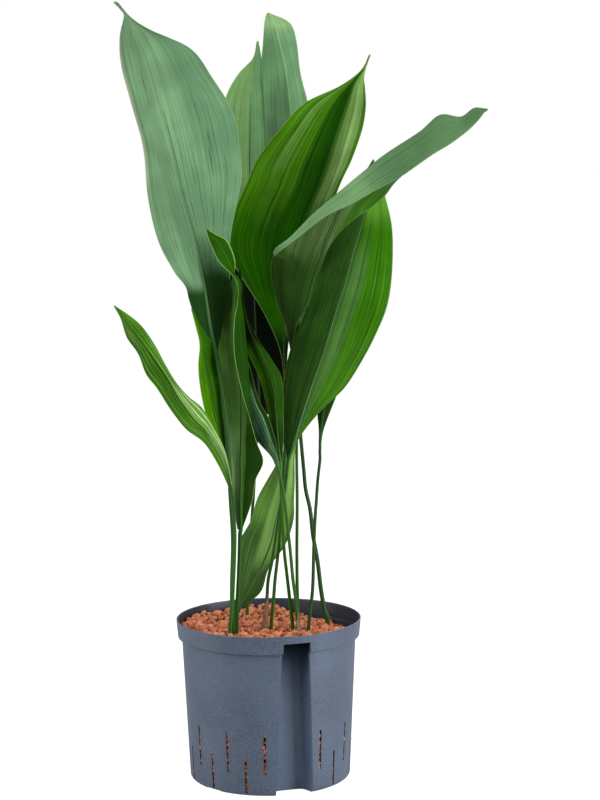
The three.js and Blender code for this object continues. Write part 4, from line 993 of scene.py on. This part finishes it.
def pot_levels():
    """(radius, height, growth, recess open, flat on) for each loop, up the outside and down inside."""
    wall, height, fillet, floor = (POT[key] for key in ("wall", "height", "fillet", "floor"))
    strip, ledge = height - GAUGE["strip"], height - FLAT["ledge"]
    flat_top = BAND_LOW - POT["step"] / 2

    def rise(radius_at, low, high, count, grow, recess, flat):
        return [(radius_at(z) - grow, z, grow, recess, flat) for z in np.linspace(low, high, count)]

    levels = []
    for z in LOOPS["foot"]:
        back = fillet - math.sqrt(fillet**2 - (fillet - z) ** 2)
        levels.append((wall_radius(z) - back * (1 if z else EDGES["bottom"]), z, 0.0, True, True))
    levels += rise(wall_radius, fillet, flat_top, LOOPS["wall"], 0.0, True, True)
    levels += [
        (wall_radius(flat_top), flat_top, 0.0, True, False),
        (POT["band_foot"] - EDGES["band_in"], BAND_LOW - EDGES["band_below"], 0.0, True, False),
        (POT["band_foot"], BAND_LOW + EDGES["band_above"], 0.0, True, False),
    ]
    levels += rise(band_radius, BAND_LOW + EDGES["band_next"], strip, LOOPS["band"], 0.0, True, False)
    levels += rise(band_radius, strip, height - EDGES["rim_outer"], LOOPS["band"], 0.0, False, False)
    for a in np.radians(np.linspace(*EDGES["rim_arc"], LOOPS["rim"])):
        lip = POT["rim"] + wall / 2 * (math.cos(a) - 1)
        levels.append((lip, height - EDGES["rim_rise"] + math.sin(a), 0.0, False, False))
    levels += rise(band_radius, height - EDGES["rim_inner"], strip + wall, LOOPS["cap"], wall, False, False)
    levels += rise(band_radius, strip + wall, ledge, LOOPS["ledge"], wall, True, False)
    levels += [
        (band_radius(ledge) - wall, ledge, wall, True, True),
        (band_radius(BAND_LOW + EDGES["under_ledge"]) - wall, BAND_LOW + POT["step"], wall, True, True),
    ]
    levels += rise(wall_radius, BAND_LOW - POT["step"], floor + fillet, LOOPS["inner"], wall, True, True)
    foot, inner = wall_radius(floor) - wall, EDGES["inner_foot"]
    levels += [(foot - inner, floor + inner, wall, True, True), (foot - fillet, floor, wall, True, True)]
    return levels


def slot_boxes():
    """Azimuth, width, reach, low and high edge of each slot's cutter."""
    return [(a, SLOT["width"], SLOT["reach"], *SLOT_ROWS[i % 2]) for i, a in enumerate(SLOT_AZIMUTHS)]


def cutter_boxes(boxes):
    """Boxes, each turned to its place round the wall."""
    corner = np.array([(x, y, z) for z in (0, 1) for y in (-1, 1) for x in (-1, 1)], float)
    side = np.array([(0, 2, 3, 1), (4, 5, 7, 6), (0, 1, 5, 4), (1, 3, 7, 5), (3, 2, 6, 7), (2, 0, 4, 6)])
    points, faces = [], []
    for azimuth, width, reach, low, high in boxes:
        x, y, z = (corner * (width / 2, reach, high - low) + (0, -wall_radius(max(low, 0)), low)).T
        faces.append(side + 8 * len(points))
        points.append(np.stack([*turned(x, y, math.radians(azimuth)), z], -1))
    return np.concatenate(points), np.concatenate(faces)


def recess_place(levels, loops):
    """For every point of the pot: how far it lies into the open recess (0 at the wall, 1 from a few
    millimetres in), and how near the recess's roof it is (0 below, 1 under the roof)."""
    roof, low = POT["height"] - GAUGE["strip"], RECESS_SHADE["from"]
    into, high = [], []
    for (radius, z, grow, recess, _), loop in zip(levels, loops):
        run = np.arange(len(loop)) >= POINTS["wall"]
        behind = (radius - np.hypot(loop[:, 0], loop[:, 1])) / RECESS_SHADE["depth"]
        into.append(np.where(run & recess & (grow == 0), np.clip(behind, 0, 1), 0.0))
        high.append(np.full(len(loop), min((max(z - low, 0) / (roof - low)) ** 2, 1.0)))
    return np.concatenate(into), np.concatenate(high)


# The inside colour is painted shade on the inner walls, and the two recess colours are painted light low in
# the recess and painted shade under its roof.
POT_COLORS = {
    "dark": (56, 68, 86), "light": (67, 80, 99), "stipple": (102, 116, 136), "scuff": (126, 139, 156),
    "inside": (38, 46, 60), "recess_low_painted_light": (92, 110, 140), "recess_roof_painted_shade": (10, 14, 20),
}


def pot_material():
    """Moulded blue-grey plastic: a fine stipple, slow random changes of tone, worn paler spots, painted
    shade on the inner walls, and a recess painted paler below and painted dark as shade under its roof,
    where its specular fades."""
    material, n, shader = new_material("pot_plastic_fine")
    shade = {key: rgba(color) for key, color in POT_COLORS.items()}
    stipple = n.noise(n.place(), 900.0, 2.0)
    color = n.mix(n.spread(n.noise(n.place(), 14.0), 0.35, 0.65), shade["dark"], shade["light"])
    color = n.mix(n.spread(stipple, 0.4, 0.66, 0.0, 0.55), color, shade["stipple"])
    scuff = n.noise(n.place(), 160.0, 4.0, 0.7)
    color = n.mix(n.spread(scuff, 0.68, 0.78, 0.0, 0.3), color, shade["scuff"])
    # Painted shade on the inner walls and under the recess roof, and painted light low in the recess; the
    # roof also loses its specular.
    for trait in ("inside", "recess_low_painted_light", "recess_roof_painted_shade"):
        color = n.mix(n.trait(trait), color, shade[trait])
    n.put(shader.inputs["Specular IOR Level"], n.spread(n.trait("recess_roof_painted_shade"), 0.0, 0.7, 0.5, 0.0))
    n.put(shader.inputs["Base Color"], color)
    n.put(shader.inputs["Roughness"], n.spread(stipple, 0.3, 0.7, 0.4, 0.55))
    n.put(shader.inputs["Normal"], n.bump(stipple, 0.25, 0.0004))
    return material


def boolean_cut(piece, points, faces):
    """Cuts closed boxes out of a piece and keeps the result as its mesh."""
    cutter = make_piece("cutter", points, faces.tolist(), [])
    cut = piece.modifiers.new("cut", "BOOLEAN")
    cut.operation = "DIFFERENCE"
    cut.solver = "EXACT"
    cut.object = cutter
    bpy.context.view_layer.update()
    result = bpy.data.meshes.new_from_object(piece.evaluated_get(bpy.context.evaluated_depsgraph_get()))
    piece.modifiers.clear()
    piece.data = result
    bpy.data.objects.remove(cutter)


def pot_piece():
    """The pot: its loops joined up the outside and down the inside, with the slots and the rim notch
    cut through the wall."""
    levels = pot_levels()
    loops = [pot_outline(*level) for level in levels]
    # Where the pot takes painted shade (inner walls, recess roof) and painted light (low in the recess).
    inside = np.repeat([float(grow > 0) for _, _, grow, _, _ in levels], len(loops[0]))
    into, high = recess_place(levels, loops)
    painted_low_light = RECESS_SHADE["painted_low_light"] * into * (1 - high)
    traits = {"inside": inside, "recess_roof_painted_shade": into * high, "recess_low_painted_light": painted_low_light}
    faces = ring_faces(len(loops), len(loops[0]))
    piece = make_piece("pot_fine", np.concatenate(loops), faces, [pot_material()], traits=traits)
    boolean_cut(piece, *cutter_boxes(slot_boxes()))
    boolean_cut(piece, *cutter_boxes([tuple(NOTCH.values())]))
    piece.data.polygons.foreach_set("use_smooth", np.ones(len(piece.data.polygons), bool))
    piece.data.set_sharp_from_angle(angle=math.radians(SHARP_EDGE))
    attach(piece, "root")
    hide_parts("pot")


pot_piece()


# ---------------------------------------------------------------- granules
# The last colour is painted shade, near black, for low-lying granules and the core.
CLAY_COLORS = {
    "rust": (178, 98, 64), "salmon": (232, 152, 112), "grit": (96, 46, 28), "pale": (176, 156, 148),
    "brown": (100, 48, 30), "painted_shade_dark": (22, 10, 6),
}


def granule_material():
    """Fired clay: salmon to rust by granule, a gritty surface, a few grey or white specks, and painted shade
    that darkens low granules, their lower sides and the core towards near black.
    """
    material, n, shader = new_material("fired_clay_fine", specular_ior_level=0.2, roughness=0.92)
    shade = {key: rgba(color) for key, color in CLAY_COLORS.items()}
    color = n.mix(n.spread(n.trait("tone"), 0.0, 1.0, soft=False), shade["rust"], shade["salmon"])
    grit = n.noise(n.place(), 420.0, 4.0, 0.65)
    color = n.mix(n.spread(grit, 0.3, 0.72), n.mix(0.5, color, shade["grit"]), color)
    patch = n.noise(n.place(), 150.0, 2.0)
    color = n.mix(n.spread(patch, 0.66, 0.72, 0.0, 0.75), color, shade["pale"])
    color = n.mix(n.spread(patch, 0.25, 0.32, 0.5, 0.0), color, shade["brown"])
    # Painted shade: the depth trait darkens the clay towards near black.
    n.put(shader.inputs["Base Color"], n.mix(n.trait("depth"), color, shade["painted_shade_dark"]))
    n.put(shader.inputs["Normal"], n.bump(grit, 0.8, 0.0012))
    return material


def clay_level(x, y):
    """The fill's mean height: level, with a low rise behind and a fall to the right at the back."""
    (x_rise, y_rise), (x_size, y_size) = CLAY_RISE["place"], CLAY_RISE["size"]
    rise = CLAY_RISE["height"] * np.exp(-(((x - x_rise) / x_size) ** 2 + ((y - y_rise) / y_size) ** 2))
    along = CLAY_FALL["way"][0] * x + CLAY_FALL["way"][1] * y
    fall = smooth(*CLAY_FALL["range"], along) * smooth(0, CLAY_FALL["right"], x)
    return CLAY_LEVEL + rise - CLAY_FALL["height"] * fall


def inner_reach(azimuth, z):
    """How far the fill may reach inside the wall at an azimuth, with the gauge box and flat left out."""
    turn = azimuth - math.radians(GAUGE["azimuth"])
    wall = wall_radius(np.minimum(z, BAND_LOW)) - POT["wall"]
    held = cut_by_flat(wall, wall_radius(z) - FLAT["inset"] - POT["wall"], azimuth)
    reach = np.where(z < POT["height"] - FLAT["ledge"], held, wall)
    box = wall_radius(z) - GAUGE["depth"] - POT["wall"]
    from_box = np.abs(np.arctan2(np.sin(turn), np.cos(turn)))
    by_box = from_box < np.arctan2(gauge_half(z) + POT["wall"], box)
    return np.where(by_box, np.minimum(reach, box), reach)


def scattered(spacing, shake, radii, drop):
    """Granule centres and radii on a shaken hexagonal grid over the fill, kept inside the wall."""
    n = int(POT["rim"] / spacing) + 2
    i, j = np.meshgrid(np.arange(-n, n + 1), np.arange(-n, n + 1), indexing="ij")
    x = ((i + 0.5 * (j % 2)) * spacing + rng.uniform(-shake, shake, i.shape)).ravel()
    y = (j * spacing * math.sqrt(0.75) + rng.uniform(-shake, shake, i.shape)).ravel()
    radius = rng.uniform(*radii, len(x))
    rough = rng.uniform(-GRANULE["roughness"], GRANULE["roughness"], len(x))
    z = clay_level(x, y) - radius + GRANULE["stand"] - drop + rough
    azimuth = np.arctan2(x, -y)
    by_gauge = np.abs(azimuth - math.radians(GAUGE["azimuth"])) <= BY_GAUGE["half_angle"]
    over = np.where(by_gauge, -BY_GAUGE["keep"], OVER_WALL["reach"] * (z > OVER_WALL["above"]))
    inside = np.hypot(x, y) + radius * GRANULE["clear"] < inner_reach(azimuth, z) + over
    return np.stack([x, y, z], -1)[inside], radius[inside]


def slot_granules():
    """Granules pressed against the wall behind each slot."""
    shake, side = SLOT_GRANULES["shake"], SLOT_GRANULES["side"]
    centres, radii = [], []
    for i, middle in enumerate(SLOT_AZIMUTHS):
        low, high = SLOT_ROWS[i % 2]
        z = np.arange(low + 1, high + 2, SLOT_GRANULES["spacing"])
        z = z + rng.uniform(-shake, shake, len(z))
        radius = rng.uniform(*SLOT_GRANULES["radii"], len(z))
        a = math.radians(middle) + rng.uniform(-side, side, len(z)) / SLOT_GRANULES["radius"]
        reach = inner_reach(a, z) - radius + rng.uniform(*SLOT_GRANULES["press"], len(z))
        centres.append(from_axis(reach, a, np.maximum(z, SLOT_GRANULES["least"])))
        radii.append(radius)
    return np.concatenate(centres), np.concatenate(radii)


def pebble_mesh():
    """A round-cornered pebble of 80 faces."""
    shape = bmesh.new()
    bmesh.ops.create_icosphere(shape, subdivisions=2, radius=1.0)
    points = np.array([v.co[:] for v in shape.verts])
    faces = np.array([[v.index for v in f.verts] for f in shape.faces])
    shape.free()
    return points, faces


def turn_matrices(quarter):
    """Rotation matrices from quaternions of any length, one per row."""
    w, x, y, z = (quarter / np.linalg.norm(quarter, axis=1, keepdims=True)).T
    return np.stack([
        1 - 2 * (y * y + z * z), 2 * (x * y - z * w), 2 * (x * z + y * w),
        2 * (x * y + z * w), 1 - 2 * (x * x + z * z), 2 * (y * z - x * w),
        2 * (x * z - y * w), 2 * (y * z + x * w), 1 - 2 * (x * x + y * y),
    ], -1).reshape(len(quarter), 3, 3)


def granule_piece():
    """The fill: a core under the surface, painted near black as shade, and granules over it and behind
    the slots, the lower ones painted darker as shade. Each granule is the pebble stretched, dented by
    slow waves and turned at random."""
    pebble, pebble_faces = pebble_mesh()
    layers = [scattered(*places) for *places, _ in GRANULE_LAYERS] + [slot_granules()]
    shades = [*(shade for *_, shade in GRANULE_LAYERS), SLOT_GRANULES["shade"]]
    centres = np.concatenate([c for c, _ in layers])
    radii = np.concatenate([r for _, r in layers])
    shade = np.repeat(shades, [len(r) for _, r in layers])
    count = len(centres)
    stretch = rng.uniform(*PEBBLE["stretch"], (count, 1, 3)) * radii[:, None, None]
    wave = rng.normal(0, PEBBLE["wave"], (count, 3, 3))
    waves = np.sin(np.einsum("pk,nkm->npm", pebble, wave) + wave[:, :1]).sum(-1)
    turn = turn_matrices(rng.normal(size=(count, 4)))
    shaped = pebble[None] * stretch * (1 + PEBBLE["dent"] * waves)[..., None]
    points = (np.einsum("npk,nmk->npm", shaped, turn) + centres[:, None]).reshape(-1, 3)
    faces = (pebble_faces[None] + len(pebble) * np.arange(count)[:, None, None]).reshape(-1, 3)
    tone = np.repeat(rng.uniform(0, 1, count), len(pebble))
    # Painted shade: whole layers and slot granules by their shade share, and the sides of the top layers by
    # how far they lie under the fill's level.
    sunk = (clay_level(points[:, 0], points[:, 1]) + SUNK_SHADE["from"] - points[:, 2]) / SUNK_SHADE["full"]
    on_top = np.arange(len(points)) < len(pebble) * (count - len(layers[-1][1]))
    depth = np.maximum(np.repeat(shade, len(pebble)), np.clip(sunk, 0, SUNK_SHADE["most"]) * on_top)

    sides, heights = CORE["sides"], CORE["heights"]
    azimuth = np.linspace(0, 2 * np.pi, sides, endpoint=False)
    loops = []
    for z in heights:
        gap = CORE["gap"] if z < heights[-1] else CORE["top_gap"]
        loops.append(from_axis(inner_reach(azimuth, min(z, CORE["wall_top"])) - gap, azimuth, z))
    core = np.concatenate(loops)
    # The core takes the full painted shade.
    traits = {
        "tone": np.concatenate([tone, np.zeros(len(core))]),
        "depth": np.concatenate([depth, np.ones(len(core))]),
    }
    all_faces = faces.tolist() + ring_faces(len(heights), sides, len(points))
    all_points = np.concatenate([points, core])
    piece = make_piece("clay_fill_fine", all_points, all_faces, [granule_material()], traits=traits)
    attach(piece, "root")
    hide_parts("clay_fill")


granule_piece()


# ---------------------------------------------------------------- dry sheaths and rhizome
def sheath_material():
    """Dry papery scale: brown to tan fibres along it, and olive-green patches."""
    material, n, shader = new_material("dry_sheath_fine", roughness=0.85)
    along, across = n.surface()
    fibre = n.noise(n.vector(n.times(across, 16.0), n.times(along, 2.0)), 1.0)
    color = n.mix(n.spread(fibre, 0.35, 0.65), rgba((104, 70, 46)), rgba((176, 138, 108)))
    patch = n.spread(n.noise(n.place(), 180.0), 0.5, 0.62, 0.0, 0.75)
    n.put(shader.inputs["Base Color"], n.mix(patch, color, rgba((92, 98, 52))))
    n.put(shader.inputs["Normal"], n.bump(fibre, 0.8, 0.0008))
    return material


SHEATH_PAPER = sheath_material()


def sheath_piece(name, facing, height, leaf):
    """A pointed scale round a stem: an arc whose wrap narrows to the tip, with a torn, waved edge."""
    x, y, _ = STEMS[leaf][0]
    path = np.array([(x, y, SHEATH["low"]), (x, y, STEM["clear"]), *STEMS[leaf][1:3]], float)
    t, v = np.linspace(0, 1, SHEATH["steps"] + 1), np.linspace(-1, 1, SHEATH["columns"] + 1)
    t, v = np.meshgrid(t, v, indexing="ij")
    rise = SHEATH["low"] + (SHEATH["foot"] + height - SHEATH["low"]) * t
    centre = np.stack([np.interp(rise, path[:, 2], path[:, k]) for k in (0, 1)], -1)
    wrap = SHEATH["wrap"] + (SHEATH["tip"] - SHEATH["wrap"]) * t**3
    torn = 1 + SHEATH["torn"] * np.sin(SHEATH["tears"] * t) * (v > 0)
    angle = np.radians(facing - wrap * v * torn)
    across, along = SHEATH["crinkles"]
    crinkle = SHEATH["crinkle"] * np.sin(across * v + along * t)
    radius = SHEATH["radius"] + SHEATH["flare"] * t + crinkle + SHEATH["curl"] * t * v**2
    out = np.stack([np.cos(angle), np.sin(angle)], -1)
    rise = rise + SHEATH["point"] * np.cos(SHEATH["bow"] * v) * t
    grid = np.concatenate([centre + radius[..., None] * out, rise[..., None]], -1)
    normals = grid_normals(grid)
    outward = (normals[..., :2] * out).sum(-1, keepdims=True)
    half = SHEATH["half_thickness"] * np.sign(outward) * normals
    points = np.concatenate([(grid + half).reshape(-1, 3), (grid - half).reshape(-1, 3)])
    faces = np.concatenate(sheet_faces(*t.shape)).tolist()
    surface = np.tile(np.stack([t.ravel(), v.ravel()], -1), (2, 1))
    piece = make_piece(name + "_fine", points, faces, [SHEATH_PAPER], uv=surface)
    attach(piece, "root")
    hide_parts(name)


for sheath_name, sheath in SHEATHS.items():
    sheath_piece(sheath_name, **sheath)


def rhizome_material():
    """Rhizome skin: pale brown with darker rings and grit."""
    material, n, shader = new_material("rhizome_skin", roughness=0.85)
    rings = n.noise(n.place(), 120.0, 4.0)
    color = n.mix(n.spread(rings, 0.35, 0.65), rgba((132, 104, 70)), rgba((190, 166, 124)))
    n.put(shader.inputs["Base Color"], color)
    n.put(shader.inputs["Normal"], n.bump(rings, 0.6, 0.001))
    return material


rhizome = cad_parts["rhizome"]
rhizome.data.materials.clear()
rhizome.data.materials.append(rhizome_material())


# ---------------------------------------------------------------- floor, light and camera
# The floor's sizes are in millimetres. Each light has its place, the point it faces, its width and
# height in metres, and its power in watts. The camera is in metres and degrees, its lens in mm.
FLOOR = {"half": 4000.0, "drop": 0.2, "shade": 0.3, "glow": 0.2, "glow_seen": 0.92}
LIGHTS = {
    "key_left": {"place": (-2.0, -1.4, 1.9), "target": (0, 0, 0.5), "size": (1.2, 1.8), "power": 46},
    "side_right": {"place": (2.1, -0.9, 1.1), "target": (0, 0, 0.45), "size": (1.2, 1.8), "power": 50},
    "top": {"place": (0.1, -0.4, 2.7), "target": (0, 0, 0.4), "size": (1.6, 1.6), "power": 26},
    "back": {"place": (0.5, 2.3, 1.7), "target": (0, 0, 0.5), "size": (1.6, 1.6), "power": 30},
    "low_right": {"place": (1.3, -0.7, 0.35), "target": (0.05, 0, 0.1), "size": (0.5, 0.7), "power": 8},
    "low_left": {"place": (-1.4, -0.3, 0.35), "target": (-0.05, 0, 0.1), "size": (0.5, 0.7), "power": 6},
}
ROOM_LIGHT = 0.26
BACKDROP_LIGHT = 1.0
CAMERA = {"distance": 2.2, "height": 0.672, "down": 5.785, "right": 1.041, "roll": -0.568, "lens": 84.43}


def floor_piece():
    """A wide pale floor that looks nearly white to the camera and lights the plant only a little."""
    material, n, shader = new_material("pale_floor", roughness=0.9, specular_ior_level=0.1)
    shader.inputs["Base Color"].default_value = (*[FLOOR["shade"]] * 3, 1)
    shader.inputs["Emission Color"].default_value = (1, 1, 1, 1)
    seen = n.add("ShaderNodeLightPath").outputs["Is Camera Ray"]
    glow = n.spread(seen, 0.0, 1.0, FLOOR["glow"], FLOOR["glow_seen"], soft=False)
    n.put(shader.inputs["Emission Strength"], glow)
    half, low = FLOOR["half"], -FLOOR["drop"]
    corners = [(-half, -half, low), (half, -half, low), (half, half, low), (-half, half, low)]
    floor = make_piece("floor", corners, [[0, 1, 2, 3]], [material])


def softbox(name, place, target, size, power):
    """An area light at a place, turned to face a target."""
    light = bpy.data.lights.new(name, "AREA")
    light.shape = "RECTANGLE"
    light.size, light.size_y = size
    light.energy = power
    lamp = bpy.data.objects.new(name, light)
    lamp.location = place
    lamp.rotation_euler = (Vector(target) - Vector(place)).to_track_quat("-Z", "Y").to_euler()
    bpy.context.scene.collection.objects.link(lamp)


def room():
    """An even white world, brighter to the camera than to the plant."""
    world = bpy.data.worlds.new("studio")
    world.use_nodes = True
    n = Nodes(world.node_tree)
    seen = n.add("ShaderNodeLightPath").outputs["Is Camera Ray"]
    backdrop = world.node_tree.nodes["Background"]
    backdrop.inputs["Color"].default_value = (1, 1, 1, 1)
    n.put(backdrop.inputs["Strength"], n.spread(seen, 0.0, 1.0, ROOM_LIGHT, BACKDROP_LIGHT, soft=False))
    bpy.context.scene.world = world
    bpy.context.scene.view_settings.view_transform = "Standard"


def make_camera():
    """A camera in front of the plant, tipped down, turned a little right and rolled."""
    down, right, roll = (math.radians(CAMERA[k]) for k in ("down", "right", "roll"))
    forward = Vector((math.sin(right) * math.cos(down), math.cos(right) * math.cos(down), -math.sin(down)))
    level = Vector((math.cos(right), -math.sin(right), 0))
    rise = level.cross(forward)
    across = level * math.cos(roll) + rise * math.sin(roll)
    up = rise * math.cos(roll) - level * math.sin(roll)
    camera_data = bpy.data.cameras.new("camera")
    camera_data.sensor_fit = "AUTO"
    camera_data.sensor_width = 36.0
    camera_data.lens = CAMERA["lens"]
    camera = bpy.data.objects.new("camera", camera_data)
    camera.matrix_world = Matrix((
        (across.x, up.x, -forward.x, 0.0),
        (across.y, up.y, -forward.y, -CAMERA["distance"]),
        (across.z, up.z, -forward.z, CAMERA["height"]),
        (0.0, 0.0, 0.0, 1.0),
    ))
    bpy.context.scene.collection.objects.link(camera)
    bpy.context.scene.camera = camera


floor_piece()
for light_name, settings in LIGHTS.items():
    softbox(light_name, **settings)
room()
make_camera()
